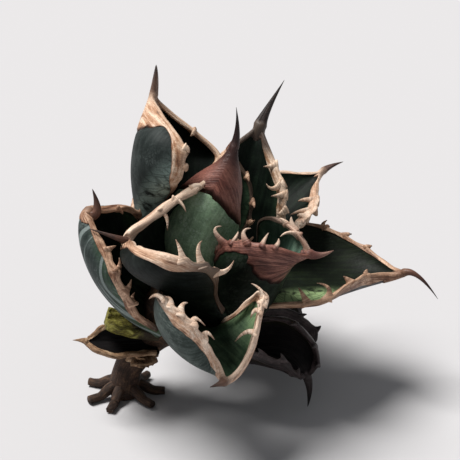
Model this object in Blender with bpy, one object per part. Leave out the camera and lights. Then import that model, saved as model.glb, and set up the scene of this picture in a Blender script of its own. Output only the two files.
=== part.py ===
"""Unpotted Agave titanota rosette: stem with trimmed roots, bud, leaves with horny toothed margins.

Metres, +Z up. The origin is the middle of the cut face under the stem, on the surface that the
plant rests on. +X is the way the rosette leans, and -Y is its front.
"""
import math
import random

import bmesh
import bpy
import numpy as np
from mathutils import Vector

MM = 0.001
GAP = 0.35 * MM             # clearance between touching pieces
WELD = 0.002 * MM           # points nearer than this are one
SEED = 20                   # of the teeth's draws

# Stem: centre line and radius in millimetres, from the cut face up to the growing point.
STEM = [
    ((0, 0, 0), 4.2), ((0, 0, 3), 4.4), ((1, 0, 8), 3.9), ((4, 0, 14), 4.3), ((8, -1, 20), 5.8),
    ((13, -2, 26), 8.0), ((16, -2, 32), 7.6), ((18, -2, 37), 5.0), ((19, -2, 40), 2.0),
]
STEM_ROUNDNESS = 3
ROOT_COUNT = 7
ROOT_REACH = 12.0
ROOT_RADIUS = 1.2

# Blade grid and the shape of the horny margin, in millimetres.
LENGTH_STEPS = 7
EDGE_THICKNESS = 1.0        # of the blade beside its margin
TIP_THICKNESS = 1.4         # along the midrib at the tip
RIM_RADIUS = 0.75
RIM_INSET = 0.25            # slack between the bead and the blade, besides the gap
HORN_GROWTH = 0.12          # how far the horn stands out of the blade's faces
SPINE_RADIUS = 1.15
SPINE_STEPS = 4
TOOTH_RADIUS = 0.95
TOOTH_SIDES = 4
TOOTH_HOOK = 0.45           # sideways bend of a drawn tooth, as a share of its length

GREEN = (0.055, 0.115, 0.075)
PALE_GREEN = (0.11, 0.2, 0.11)
WITHERED = (0.05, 0.035, 0.035)
DRY = (0.32, 0.24, 0.15)
CREAM = (0.52, 0.36, 0.25)
RED_BROWN = (0.16, 0.06, 0.045)
STUB_GREEN = (0.3, 0.3, 0.05)
BARK = (0.09, 0.055, 0.035)


def clean_scene():
    for obj in list(bpy.data.objects):
        bpy.data.objects.remove(obj, do_unlink=True)


def make_collection(name):
    collection = bpy.data.collections.new(name)
    bpy.context.scene.collection.children.link(collection)
    return collection


def make_material(name, colour, roughness):
    material = bpy.data.materials.new(name)
    material.use_nodes = True
    shader = material.node_tree.nodes["Principled BSDF"]
    shader.inputs["Base Color"].default_value = (*colour, 1.0)
    shader.inputs["Roughness"].default_value = roughness
    shader.inputs["Metallic"].default_value = 0.0
    return material


def unit(vector):
    return vector / np.linalg.norm(vector)


def through_three(values, u):
    """Parabola through the values at u = 0, 0.5 and 1."""
    first, middle, last = values
    return first * (1 - u) * (1 - 2 * u) + 4 * middle * u * (1 - u) + last * u * (2 * u - 1)


class Leaf:
    """A gutter-shaped leaf. u runs from base to tip, v from one margin (-1) to the other (1)."""

    def __init__(self, path, face, width, base=0.6, widest=0.55, taper=1.5, fold=(50, 60, 60),
                 thick=3.2, horn=0.85, dip=0.05, bow=0.4, teeth=6, tooth=3.2, bare=(0.2, 0.2),
                 wave=0.4, stout=1.0, colour=GREEN, horn_colour=CREAM):
        self.path = [np.array(point, float) for point in path]
        self.face = [unit(np.array(direction, float)) for direction in face]
        self.width, self.base, self.widest, self.taper = width, base, widest, taper
        self.fold, self.thick, self.horn, self.dip, self.bow = fold, thick, horn, dip, bow
        self.teeth, self.tooth, self.bare, self.wave = teeth, tooth, bare, wave
        self.stout, self.colour, self.horn_colour = stout, colour, horn_colour
        self.columns = 6 if max(fold) > 70 else 4
        speed = np.linalg.norm(self.middle(horn + 0.01) - self.middle(horn - 0.01)) / 0.02
        self.horn_gap = 1.15 * GAP / MM / speed

    def middle(self, u):
        """Cubic through the first four points of the path."""
        a, b, c, d = self.path[:4]
        return (a * -4.5 * (u - 1 / 3) * (u - 2 / 3) * (u - 1)
                + b * 13.5 * u * (u - 2 / 3) * (u - 1)
                - c * 13.5 * u * (u - 1 / 3) * (u - 1)
                + d * 4.5 * u * (u - 1 / 3) * (u - 2 / 3))

    def frame(self, u):
        """Directions along the leaf, across it, and out of its inner face."""
        along = unit(self.middle(u + 0.01) - self.middle(u - 0.01))
        inner = (1 - u) * self.face[0] + u * self.face[1]
        inner = unit(inner - along * (inner @ along))
        return along, np.cross(along, inner), inner

    def half_width(self, u):
        rise = 0.5 - 0.5 * math.cos(math.pi * min(max(u / self.widest, 0), 1))
        fall = min(max((u - self.widest) / (1 - self.widest), 0), 1)
        return max(self.width * (self.base + (1 - self.base) * rise) * (1 - fall ** 2) ** self.taper, 0.9)

    def thickness(self, u, v):
        ridge = TIP_THICKNESS + (self.thick - TIP_THICKNESS) * max(1 - u, 0) ** 0.7
        return EDGE_THICKNESS + (ridge - EDGE_THICKNESS) * max(1 - v * v, 0)

    def normal(self, u, v):
        along, across, inner = self.frame(u)
        turn = math.radians(through_three(self.fold, u)) * v
        return inner * math.cos(turn) - across * math.sin(turn)

    def outward(self, u, v):
        """Direction in the leaf's skin, away from the midrib."""
        along, across, inner = self.frame(u)
        turn = math.radians(through_three(self.fold, u)) * abs(v)
        side = 1 if v > 0 else -1
        return across * side * math.cos(turn) + inner * math.sin(turn)

    def skin(self, u, v, depth=0.0, grow=0.0):
        """Point on the inner face (depth 0), the back (depth 1) or between them."""
        along, across, inner = self.frame(u)
        fold = math.radians(through_three(self.fold, u))
        reach = self.half_width(u) / fold
        ripple = self.wave * abs(v) ** 3 * math.sin(math.pi * u)
        ripple *= math.sin(2 * math.pi * (3.3 * u + (0.25 if v > 0 else 0.0)))
        below = depth * self.thickness(u, v) - ripple + grow * (2 * depth - 1)
        return (self.middle(u) + across * reach * math.sin(fold * v)
                + inner * reach * (1 - math.cos(fold * v)) - self.normal(u, v) * below)

    def rim_radius(self, u):
        return RIM_RADIUS * (0.75 + 0.6 * u)

    def rim_share(self, u):
        """v of the line where the blade meets the margin, further in where the outline slants."""
        step = np.linalg.norm(self.middle(u + 0.01) - self.middle(u - 0.01))
        slant = math.hypot(1, (self.half_width(u + 0.01) - self.half_width(u - 0.01)) / step)
        inset = (self.rim_radius(u) * 1.1 + RIM_INSET + GAP / MM) * min(slant, 2.5)
        return 1 - inset / max(self.half_width(u), 2 * inset)

    def horn_line(self, v):
        """u of the line where the blade meets the horn, lowest along the midrib."""
        return self.horn - self.dip * (1 - abs(v))

    def spine(self, s):
        start, end = self.path[3:]
        lead = unit(self.middle(1.0) - self.middle(0.98)) * self.bow * np.linalg.norm(end - start)
        return (1 - s) ** 2 * start + 2 * s * (1 - s) * (start + lead) + s * s * end


def closed_object(name, mesh):
    """Object from a closed bmesh, with its faces pointing out."""
    bmesh.ops.recalc_face_normals(mesh, faces=mesh.faces)
    if mesh.calc_volume(signed=True) < 0:
        bmesh.ops.reverse_faces(mesh, faces=mesh.faces)
    data = bpy.data.meshes.new(name)
    mesh.to_mesh(data)
    mesh.free()
    return bpy.data.objects.new(name, data)


def sheet_solid(name, point, us, vs):
    """Closed solid between two faces of a grid, from point(u, v, depth) in millimetres."""
    mesh = bmesh.new()
    grid = [[[mesh.verts.new(Vector(point(u, v, depth)) * MM) for v in vs] for u in us]
            for depth in (0, 1)]
    inner, back = grid
    rows, columns = len(us) - 1, len(vs) - 1

    def quad(a, b, c, d):
        mesh.faces.new((a, b, c))
        mesh.faces.new((a, c, d))

    for i in range(rows):
        for j in range(columns):
            quad(inner[i][j], inner[i + 1][j], inner[i + 1][j + 1], inner[i][j + 1])
            a, b, c, d = back[i][j], back[i + 1][j], back[i + 1][j + 1], back[i][j + 1]
            mesh.faces.new((a, c, b))
            mesh.faces.new((a, d, c))
    for i in range(rows):
        quad(inner[i + 1][0], inner[i][0], back[i][0], back[i + 1][0])
        quad(inner[i][-1], inner[i + 1][-1], back[i + 1][-1], back[i][-1])
    for j in range(columns):
        quad(inner[0][j], inner[0][j + 1], back[0][j + 1], back[0][j])
        quad(inner[-1][j + 1], inner[-1][j], back[-1][j], back[-1][j + 1])
    return closed_object(name, mesh)


def tube_solid(name, points, radii, resolution=0):
    """Closed tube with a radius at each point (millimetres); it starts as a bevelled curve."""
    curve = bpy.data.curves.new(name, "CURVE")
    curve.dimensions = "3D"
    curve.bevel_depth = MM
    curve.bevel_resolution = resolution
    curve.use_fill_caps = True
    spline = curve.splines.new("POLY")
    spline.points.add(len(points) - 1)
    for knot, point, radius in zip(spline.points, points, radii):
        knot.co = (*(Vector(point) * MM), 1)
        knot.radius = radius
    guide = bpy.data.objects.new(name + "_guide", curve)
    bpy.context.scene.collection.objects.link(guide)
    graph = bpy.context.evaluated_depsgraph_get()
    data = bpy.data.meshes.new_from_object(guide.evaluated_get(graph))
    bpy.data.objects.remove(guide, do_unlink=True)
    mesh = bmesh.new()
    mesh.from_mesh(data)
    bmesh.ops.remove_doubles(mesh, verts=mesh.verts, dist=0.02 * MM)
    bpy.data.meshes.remove(data)
    return closed_object(name, mesh)


def largest_body(data):
    """Drop the loose scraps that a Boolean leaves beside the main body."""
    mesh = bmesh.new()
    mesh.from_mesh(data)
    bmesh.ops.remove_doubles(mesh, verts=mesh.verts, dist=WELD)
    bmesh.ops.dissolve_degenerate(mesh, edges=mesh.edges, dist=WELD)
    bodies, seen = [], set()
    for start in mesh.verts:
        if start in seen:
            continue
        seen.add(start)
        body, front = [], [start]
        while front:
            vert = front.pop()
            body.append(vert)
            for edge in vert.link_edges:
                other = edge.other_vert(vert)
                if other not in seen:
                    seen.add(other)
                    front.append(other)
        bodies.append(body)

    def volume(body):
        faces = {face for vert in body for face in vert.link_faces}
        return abs(sum(f.calc_center_median().dot(f.normal) * f.calc_area() for f in faces))

    bodies.sort(key=volume)
    for body in bodies[:-1]:
        bmesh.ops.delete(mesh, geom=body, context="VERTS")
    mesh.to_mesh(data)
    mesh.free()


def combine(body, others, operation):
    """Put the body's union or difference with the others in place of its mesh."""
    group = make_collection(body.name + "_others")
    for other in others:
        group.objects.link(other)
    bpy.context.scene.collection.objects.link(body)
    step = body.modifiers.new(operation, "BOOLEAN")
    step.operation = operation
    step.operand_type = "COLLECTION"
    step.collection = group
    step.solver = "MANIFOLD"
    graph = bpy.context.evaluated_depsgraph_get()
    data = bpy.data.meshes.new_from_object(body.evaluated_get(graph))
    body.modifiers.clear()
    bpy.context.scene.collection.objects.unlink(body)
    bpy.data.collections.remove(group)
    largest_body(data)
    body.data = data
    return body


def fuse(body, pieces):
    combine(body, pieces, "UNION")
    for piece in pieces:
        bpy.data.objects.remove(piece, do_unlink=True)
    return body


def blade(name, leaf):
    """The green part: up to the horn line, and in to the margin on both sides."""

    def point(share, v, depth):
        v *= leaf.rim_share(share * leaf.horn)
        return leaf.skin(share * (leaf.horn_line(v) - leaf.horn_gap), v, depth)

    us = np.linspace(0, 1, LENGTH_STEPS + 1)
    return sheet_solid(name, point, us, np.linspace(-1, 1, leaf.columns + 1))


def horn_cap(name, leaf):
    """The horny tip between the blade and the spine, as wide as the leaf."""

    def point(share, v, depth):
        start = leaf.horn_line(v)
        return leaf.skin(start + (0.995 - start) * share, v, depth, grow=HORN_GROWTH)

    rows = 2 if leaf.horn > 0.88 else 3
    return sheet_solid(name, point, np.linspace(0, 1, rows + 1), np.linspace(-1, 1, leaf.columns + 1))


def rim(name, leaf, side):
    """The horny bead along one margin, with its knots beside the rows of the blade."""
    points, radii = [], []
    for row in range(1, LENGTH_STEPS + 1):
        u = row / LENGTH_STEPS * leaf.horn
        radius = leaf.rim_radius(u)
        points.append(leaf.skin(u, side, 0.5) - leaf.outward(u, side) * radius * 0.1)
        radii.append(radius)
    inside_horn = max(leaf.horn, leaf.horn_line(0.8)) + 0.04
    points.append(leaf.skin(inside_horn, side * 0.8, 0.5))
    radii.append(RIM_RADIUS)
    return tube_solid(name, points, radii)


def tooth(name, root, middle, tip):
    """A curved prickle: rings along a bent line that starts inside the bead."""
    bend = 2 * middle - (root + tip) / 2
    mesh = bmesh.new()
    rings = []
    for share in (0.0, 0.35, 0.7):
        centre = (1 - share) ** 2 * root + 2 * share * (1 - share) * bend + share ** 2 * tip
        lead = unit((1 - share) * (bend - root) + share * (tip - bend))
        side = unit(np.cross(lead, tip - root + 0.1 * np.array([lead[2], lead[0], lead[1]])))
        up = np.cross(side, lead)
        ring = []
        for k in range(TOOTH_SIDES):
            turn = 2 * math.pi * k / TOOTH_SIDES
            around = (side * math.sin(turn) + up * math.cos(turn)) * TOOTH_RADIUS * (1 - 0.9 * share)
            ring.append(mesh.verts.new(Vector(centre + around) * MM))
        rings.append(ring)
    end = mesh.verts.new(Vector(tip) * MM)
    mesh.faces.new(rings[0])
    for k in range(TOOTH_SIDES):
        j = (k + 1) % TOOTH_SIDES
        for low, high in zip(rings, rings[1:]):
            mesh.faces.new((low[k], low[j], high[j], high[k]))
        mesh.faces.new((rings[-1][k], rings[-1][j], end))
    return closed_object(name, mesh)


def teeth_of(name, leaf, draw):
    """Root, middle and tip of each tooth: as listed in TEETH, or drawn where a leaf isn't listed."""
    found = []
    for side, u, middle, tip in TEETH.get(name, ()):
        root = leaf.skin(u, side, 0.5)
        axes = np.array([leaf.outward(u, side), leaf.frame(u)[0], leaf.normal(u, side)])
        found.append((root, root + np.array(middle) @ axes, root + np.array(tip) @ axes))
    if found:
        return found
    for side, bare in zip((-1, 1), leaf.bare):
        for k in range(leaf.teeth):
            share = (k + 0.5 + draw.uniform(-0.25, 0.25)) / leaf.teeth
            u = bare + (leaf.horn - bare) * share
            out = unit(leaf.outward(u, side) + leaf.normal(u, side) * draw.uniform(-0.1, 0.4))
            hook = leaf.frame(u)[0] * draw.choice((-1, -1, 1))
            hook = hook + leaf.normal(u, side) * draw.uniform(-0.3, 0.6)
            hook = unit(hook - out * (hook @ out)) * TOOTH_HOOK
            length = leaf.tooth * (0.6 + 0.4 * math.sin(math.pi * u)) * draw.uniform(0.75, 1.2)
            root = leaf.skin(u, side, 0.5)
            found.append((root, root + (out / 2 + hook / 4) * length, root + (out + hook) * length))
    return found


def margin(name, leaf, draw):
    """Both beads, the horn, the end spine and the teeth of one leaf, fused."""
    pieces = []
    for side in (-1, 1):
        pieces.append(rim(f"{name}_rim", leaf, side))
    for root, middle, tip in teeth_of(name.removesuffix("_margin"), leaf, draw):
        pieces.append(tooth(f"{name}_tooth", root, middle, tip))
    steps = [-0.12] + [step / SPINE_STEPS for step in range(SPINE_STEPS + 1)]
    points = [leaf.spine(s) - leaf.frame(1.0)[2] * 0.5 for s in steps]
    radii = [leaf.stout * SPINE_RADIUS * (1 - max(s, 0)) ** 0.8 + 0.15 for s in steps]
    pieces.append(tube_solid(f"{name}_spine", points, radii, resolution=1))
    return fuse(horn_cap(name, leaf), pieces)


def clearance(name, leaf):
    """The leaf's whole outline with the gap round it, for cutting older leaves."""
    bead = RIM_RADIUS * 2 + GAP / MM

    def point(u, v, depth):
        side_growth = (bead - 0.5 * EDGE_THICKNESS) * v ** 4
        v *= 1 + bead / max(leaf.half_width(u), 2 * bead)
        return leaf.skin(u, v, depth, grow=max(GAP / MM + HORN_GROWTH, side_growth))

    us = np.linspace(0, 1, LENGTH_STEPS + 1)
    us[0] = -0.03
    return sheet_solid(name, point, us, np.linspace(-1, 1, 2 * leaf.columns + 1))


# The leaves from the youngest to the oldest, in millimetres. The path is the midrib's inner side at
# the base, a third, two thirds and the blade's tip, then the spine's point. The two face directions
# say which way the inner side looks at the base and at the tip. under names the younger leaves
# that it tucks under and is notched for.
LEAVES = {
    "leaf_01": (Leaf(
        path=[(18, -8, 34), (18, -8, 50), (24, -5.5, 62), (30, -1, 73.5), (30.5, 0, 84)],
        face=[(0.3, 0.9, 0.1), (0.4, 0.9, 0)], width=18, widest=0.4, taper=1.7, fold=(120, 120, 90),
        thick=2.4, horn=0.5, dip=-0.25, teeth=0, stout=1.35, colour=PALE_GREEN, horn_colour=RED_BROWN),
        ()),
    "leaf_02": (Leaf(
        path=[(19.5, 4.5, 32.5), (22.5, 10, 44.5), (26, 14, 56), (29, 16, 65.5), (30.5, 17, 69)],
        face=[(0.2, -0.9, 0.1), (0.3, -0.8, 0)], width=10.5, fold=(50, 60, 70), horn=0.92, teeth=4),
        ("leaf_01",)),
    "leaf_03": (Leaf(
        path=[(24, 7, 29.5), (30, 18, 43), (32.5, 20, 53.5), (37, 26, 69), (43.5, 31, 80)],
        face=[(-0.17, -0.94, 0.3), (-0.2, -0.98, 0)], width=14.5, widest=0.58, taper=1.2,
        fold=(50, 50, 70), horn=0.9, bow=0.2, stout=1.5), ("leaf_02",)),
    "leaf_04": (Leaf(
        path=[(10, 2, 32), (6.5, 6, 56), (6.5, 9, 67.5), (9, 15.5, 81.5), (10, 11, 91.5)],
        face=[(0.91, -0.28, 0.31), (0.8, -0.59, -0.12)], width=23.5, base=0.12, widest=0.69, taper=1.5,
        fold=(54, 125, 98), horn=0.84, dip=0.06, stout=1.2), ("leaf_01", "leaf_02", "leaf_03")),
    "leaf_05": (Leaf(
        path=[(28, 8, 28.5), (36.5, 18.5, 38.5), (44, 26, 45.5), (55, 34.5, 52), (60.5, 36, 54)],
        face=[(-0.56, -0.55, 0.62), (-0.53, -0.79, 0.29)], width=12.3, taper=1.8, widest=0.6,
        fold=(52, 50, 50), horn=0.92), ("leaf_03",)),
    "leaf_06": (Leaf(
        path=[(25.5, -8, 25.5), (35, -9.5, 32.5), (42, -14.5, 46), (49, -19, 51.5), (55, -19, 52.5)],
        face=[(0, 0.89, 0.45), (-0.89, 0.06, 0.45)], width=19, taper=1.9, widest=0.58, base=0.35,
        fold=(64, 125, 80), horn=0.76, dip=0.2, horn_colour=RED_BROWN), ("leaf_01",)),
    "leaf_07": (Leaf(
        path=[(21.5, -8, 27.5), (10, -15, 45), (4.5, -15.5, 52), (3, -16, 54), (-6.5, -17, 58)],
        face=[(0.34, 0.12, 0.93), (0.5, -0.51, 0.7)], width=30, taper=2.2, widest=0.5, base=0.3,
        fold=(85, 95, 90), horn=0.8, dip=0.06), ("leaf_01", "leaf_04", "leaf_06")),
    "leaf_08": (Leaf(
        path=[(27.5, 3, 27), (41.5, 4.5, 32.5), (59, 8.5, 31), (75.5, 4, 35.5), (84.5, 2, 28.5)],
        face=[(0.15, -0.44, 0.88), (-0.12, 0.11, 0.99)], width=19.5, taper=1.5, base=0.3, widest=0.47,
        fold=(35, 45, 80), horn=0.92), ("leaf_03", "leaf_05", "leaf_06")),
    "leaf_09": (Leaf(
        path=[(10, -4, 24), (-1.5, -6.5, 37), (-7.5, -9.5, 52), (-6.5, -12, 60), (-6.5, -11, 66.5)],
        face=[(0.57, -0.26, 0.78), (0.77, -0.37, 0.51)], width=17.5, taper=1.4, widest=0.52, base=0.4,
        fold=(60, 80, 96), horn=0.9), ("leaf_04", "leaf_07")),
    "leaf_10": (Leaf(
        path=[(24, 8, 24), (29.5, 22, 25), (35.5, 34, 27), (41, 44, 28), (44, 50, 28)],
        face=[(-0.2, -0.4, 0.9), (-0.3, -0.5, 0.8)], width=12.5, base=0.45, horn=0.9, teeth=5),
        ("leaf_03", "leaf_05", "leaf_08")),
    "leaf_11": (Leaf(
        path=[(24.5, -9, 25.5), (20, -26, 31.5), (25, -33.5, 29), (27.5, -43, 28.5), (24, -45, 28)],
        face=[(0.14, 0.05, 0.99), (0.35, -0.28, 0.89)], width=22.5, taper=1.8, base=0.25, widest=0.5,
        fold=(68, 98, 99), horn=0.92), ("leaf_06", "leaf_07")),
    "leaf_12": (Leaf(
        path=[(13, 8, 27), (9.5, 20, 32), (7, 30, 41), (7, 36, 51), (7.5, 38, 57)],
        face=[(0.5, -0.5, 0.6), (0.6, -0.7, 0.2)], width=13, base=0.45, horn=0.9, teeth=4),
        ("leaf_04", "leaf_10")),
    "leaf_13": (Leaf(
        path=[(26, 6, 20.5), (40, 14, 19), (47.5, 18, 10.5), (49.5, 19, 3), (49.5, 18, 0.1)],
        face=[(0, 0, 1), (0.8, 0.2, 0.4)], width=9, base=0.5, horn=0.93, teeth=4, tooth=2.2,
        colour=WITHERED, horn_colour=DRY), ("leaf_08", "leaf_10")),
    "leaf_14": (Leaf(
        path=[(19, 9, 23.5), (19.5, 24, 22), (20.5, 36, 23), (22, 46, 26), (22.5, 52, 27)],
        face=[(0, -0.2, 1), (0, -0.5, 0.9)], width=12.5, base=0.45, horn=0.9, teeth=5),
        ("leaf_10", "leaf_12")),
    "leaf_15": (Leaf(
        path=[(20, -5, 15), (36, -9.5, 19), (45, -10.5, 18), (49.6, -10, 10.5), (50, -8, 0.1)],
        face=[(0, 0, 1), (0.4, -0.9, 0.1)], width=10, taper=1.0, widest=0.5, base=0.45,
        fold=(50, 105, 90), horn=0.93, teeth=5, tooth=2.5, colour=WITHERED, horn_colour=DRY),
        ("leaf_06", "leaf_08", "leaf_11")),
    "leaf_16": (Leaf(
        path=[(9, -5, 18), (2, -7.5, 19.5), (-4.5, -9, 20.5), (-9.5, -9.5, 21.5), (-13, -9, 21.5)],
        face=[(0, -0.6, 0.8), (0, -0.6, 0.8)], width=5.5, fold=(50, 65, 60), thick=2.0, horn=0.85,
        teeth=0, colour=DRY, horn_colour=DRY), ()),
}

# The teeth of the leaves in view: the side, the place along the leaf, then the tooth's middle and tip
# from its root, in millimetres outward, towards the leaf's tip and towards its inner side.
TEETH = {
    "leaf_03": [
        (1, 0.84, (-0.5, -0.5, 1), (-1, -1, 2.5)), (1, 0.76, (-0.5, -2, 2), (-1.5, -1, 3.5)),
        (1, 0.7, (-0.5, -0.5, 1.5), (-1, -1, 3)), (1, 0.6, (0, -1, 1), (-0.5, -1, 1.5)),
        (-1, 0.75, (0.5, -0.5, 1), (1, -1, 1.5)), (-1, 0.6, (0.5, -0.5, 1), (0.5, -1.5, 1.5)),
    ],
    "leaf_04": [
        (-1, 0.74, (1, -0.5, 0), (1, -2, 0)), (-1, 0.62, (0.5, 0.5, 0), (1, -0.5, 0)),
        (1, 0.86, (0.5, -0.5, 0.5), (0, -1.5, 1)), (1, 0.7, (1, 0.5, 0), (1.5, -0.5, -1)),
    ],
    "leaf_05": [
        (1, 0.8, (-0.5, -2.5, 2), (-1, -4.5, 2.5)), (1, 0.72, (-0.5, -3, 2), (-1, -6.5, 3)),
        (1, 0.62, (-0.5, -1, 1.5), (-1, -2, 1.5)), (1, 0.54, (1, 0.5, 0), (1.5, -0.5, -1)),
        (-1, 0.7, (0.5, 0, 0), (1, -0.5, -0.5)),
    ],
    "leaf_06": [
        (1, 0.62, (3.5, 1, -2.5), (4, 2.5, -1)), (1, 0.52, (1.5, 1, -1), (2.5, 2, -1.5)),
        (1, 0.67, (1, 1.5, 1), (2, 2.5, 1.5)), (1, 0.56, (-1.5, -0.5, 2.5), (-2.5, -2.5, 2.5)),
        (1, 0.74, (3, 1, 0), (3, 2.5, 1.5)), (1, 0.83, (0.5, 1, 1), (1.5, 1.5, 1.5)),
        (1, 0.79, (1, 1, 1), (2, 2.5, 2)), (-1, 0.89, (2, -2, 0), (2.5, -4, 1.5)),
        (-1, 0.82, (1, 0, -0.5), (2, -0.5, -1)), (-1, 0.86, (1.5, 0, -1.5), (2.5, 0.5, -2.5)),
    ],
    "leaf_07": [
        (-1, 0.53, (1, 2.5, 1), (1.5, 5, 2)), (-1, 0.44, (1.5, 3.5, 1.5), (3.5, 4.5, 2.5)),
        (-1, 0.33, (2.5, -1.5, 0), (5.5, -1, 1)), (1, 0.74, (1, -1.5, -0.5), (1, -4, 0.5)),
        (1, 0.79, (0.5, -2, 0.5), (-0.5, -4.5, 2.5)), (1, 0.66, (1, 0, -1), (1.5, -1.5, -1.5)),
    ],
    "leaf_08": [
        (1, 0.66, (0.5, -1, 1), (1, -2, 1.5)), (1, 0.47, (0.5, 0.5, 3), (0, -2.5, 4.5)),
        (1, 0.38, (0, -1, 2.5), (-0.5, -2, 4.5)), (1, 0.82, (0.5, 0, 0.5), (1, 0.5, 1)),
        (-1, 0.5, (1, -1.5, 0), (0, -2.5, -0.5)), (-1, 0.62, (1, -0.5, 0), (2, 0.5, 0.5)),
        (-1, 0.7, (0.5, 1, 0), (0.5, 2, 0)), (-1, 0.79, (0.5, 1, 0), (0.5, 1.5, -0.5)),
    ],
    "leaf_09": [
        (-1, 0.74, (1, 0.5, 0.5), (2, 0.5, 1.5)), (-1, 0.6, (0.5, 1, 1.5), (0.5, 2.5, 2.5)),
        (-1, 0.46, (1, 0.5, 1), (1.5, 1.5, 2.5)), (-1, 0.33, (0.5, 1.5, 0.5), (1, 2, 2)),
        (1, 0.8, (1, -0.5, 0), (1.5, -1, 0.5)), (1, 0.6, (1, -0.5, 0), (1, -2, 1)),
    ],
    "leaf_11": [
        (1, 0.42, (0.5, -1.5, -1.5), (-1, -2, -3)), (1, 0.46, (1.5, -1, 0), (1.5, -2, -1)),
        (1, 0.51, (2, -1, 0.5), (3, -0.5, 1.5)), (1, 0.59, (1.5, -0.5, 0.5), (1, 2, 2)),
        (1, 0.7, (1.5, 0, 0.5), (1, 2, 1.5)), (-1, 0.57, (1.5, -2, 0), (2, -4.5, 1)),
        (-1, 0.61, (1.5, -0.5, -1.5), (2.5, -2, -1)), (-1, 0.66, (0.5, -1, 1), (-1, -0.5, 2.5)),
        (-1, 0.75, (0, -1.5, 2), (-2, -1.5, 5)),
    ],
}

# The stub of a cut leaf, between the stem and leaf_09.
STUB = Leaf(
    path=[(9, -5, 22.5), (4.5, -6.5, 23.5), (0, -8, 25), (-4, -9, 27), (-5, -9, 28)],
    face=[(0.2, 0, 1), (0.5, 0, 1)], width=5, base=0.8, widest=0.9, taper=0.2, thick=3.0)

BUD = [((18.5, -1.5, 36), 2.4), ((20, -2, 42), 2.8), ((22.5, -1, 50), 2.1), ((25.5, 1, 58), 1.0),
       ((27, 2, 62), 0.3)]

# Dry leaf bases on the stem: height, direction in degrees and length.
SCALES = [(13, 200, 7), (16, 20, 8), (17, 110, 8), (12, 290, 8), (19, 330, 9), (9, 60, 6)]


def stem_centre(height):
    for (low, _), (high, _) in zip(STEM, STEM[1:]):
        if height <= high[2]:
            share = (height - low[2]) / (high[2] - low[2])
            return np.array(low) * (1 - share) + np.array(high) * share
    return np.array(STEM[-1][0], float)


def stem(name):
    """The stem with its trimmed roots and dry leaf bases."""
    draw = random.Random(3)
    pieces = []
    for k in range(ROOT_COUNT):
        turn = 2 * math.pi * (k + draw.uniform(-0.2, 0.2)) / ROOT_COUNT
        way = np.array((math.cos(turn), math.sin(turn), 0))
        side = np.array((-way[1], way[0], 0)) * draw.uniform(-1.5, 1.5)
        reach = ROOT_REACH * draw.uniform(0.85, 1.0)
        points = [
            way * 2 + (0, 0, 3.6), way * 5 + (0, 0, 2.8),
            way * reach * 0.7 + side * 0.5 + (0, 0, ROOT_RADIUS), way * reach + side + (0, 0, ROOT_RADIUS),
        ]
        radii = [1.8, 1.5, ROOT_RADIUS, ROOT_RADIUS * 0.9]
        pieces.append(tube_solid("root", points, radii))
    for height, bearing, length in SCALES:
        turn = math.radians(bearing)
        way = np.array((math.cos(turn), math.sin(turn), 0.35))
        start = stem_centre(height) + way * 2.5
        path = [start + way * length * s - (0, 0, 1.5 * s * s) for s in (0, 0.33, 0.67, 1, 1.1)]
        scale = Leaf(path, [(0, 0, 1), way + np.array((0, 0, 1))], width=3.6, base=0.9, taper=0.6,
                     fold=(60, 50, 30), thick=1.6, wave=1.0)
        pieces.append(sheet_solid("scale", scale.skin, np.linspace(0, 0.97, 4), np.linspace(-1, 1, 4)))
    points = [point for point, _ in STEM]
    radii = [radius for _, radius in STEM]
    return fuse(tube_solid(name, points, radii, STEM_ROUNDNESS), pieces)


def stem_clearance(name):
    points = [point for point, _ in STEM]
    points[-1] = (19.2, -2, 40.5)
    radii = [radius + GAP / MM for _, radius in STEM]
    return tube_solid(name, points, radii, STEM_ROUNDNESS)


def build():
    clean_scene()
    plant = make_collection("agave_rosette")
    stem_cutter = stem_clearance("stem_clearance")
    clearances = {}

    def keep(obj, colour, roughness, cutters=()):
        if cutters:
            combine(obj, cutters, "DIFFERENCE")
        obj.data.materials.clear()
        obj.data.materials.append(make_material(obj.name, colour, roughness))
        plant.objects.link(obj)

    keep(stem("stem"), BARK, 0.85)
    for number, (name, (leaf, under)) in enumerate(LEAVES.items()):
        cutters = [stem_cutter] + [clearances[younger] for younger in under]
        keep(blade(name + "_blade", leaf), leaf.colour, 0.45, cutters)
        horn = margin(name + "_margin", leaf, random.Random(number + SEED))
        keep(horn, leaf.horn_colour, 0.55, cutters)
        clearances[name] = clearance(name + "_clearance", leaf)
    stub = sheet_solid("leaf_stub", STUB.skin, np.linspace(0, 1, 5), np.linspace(-1, 1, 5))
    keep(stub, STUB_GREEN, 0.5, [stem_cutter, clearances["leaf_09"], clearances["leaf_16"]])
    bud = tube_solid("bud", [point for point, _ in BUD], [radius for _, radius in BUD], resolution=1)
    keep(bud, PALE_GREEN, 0.5, [stem_cutter])
    for cutter in [stem_cutter, *clearances.values()]:
        bpy.data.objects.remove(cutter, do_unlink=True)


build()
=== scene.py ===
"""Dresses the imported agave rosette: leaves, horny margins, teeth, spines, stem, floor, light, camera."""
import math
import random

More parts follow.
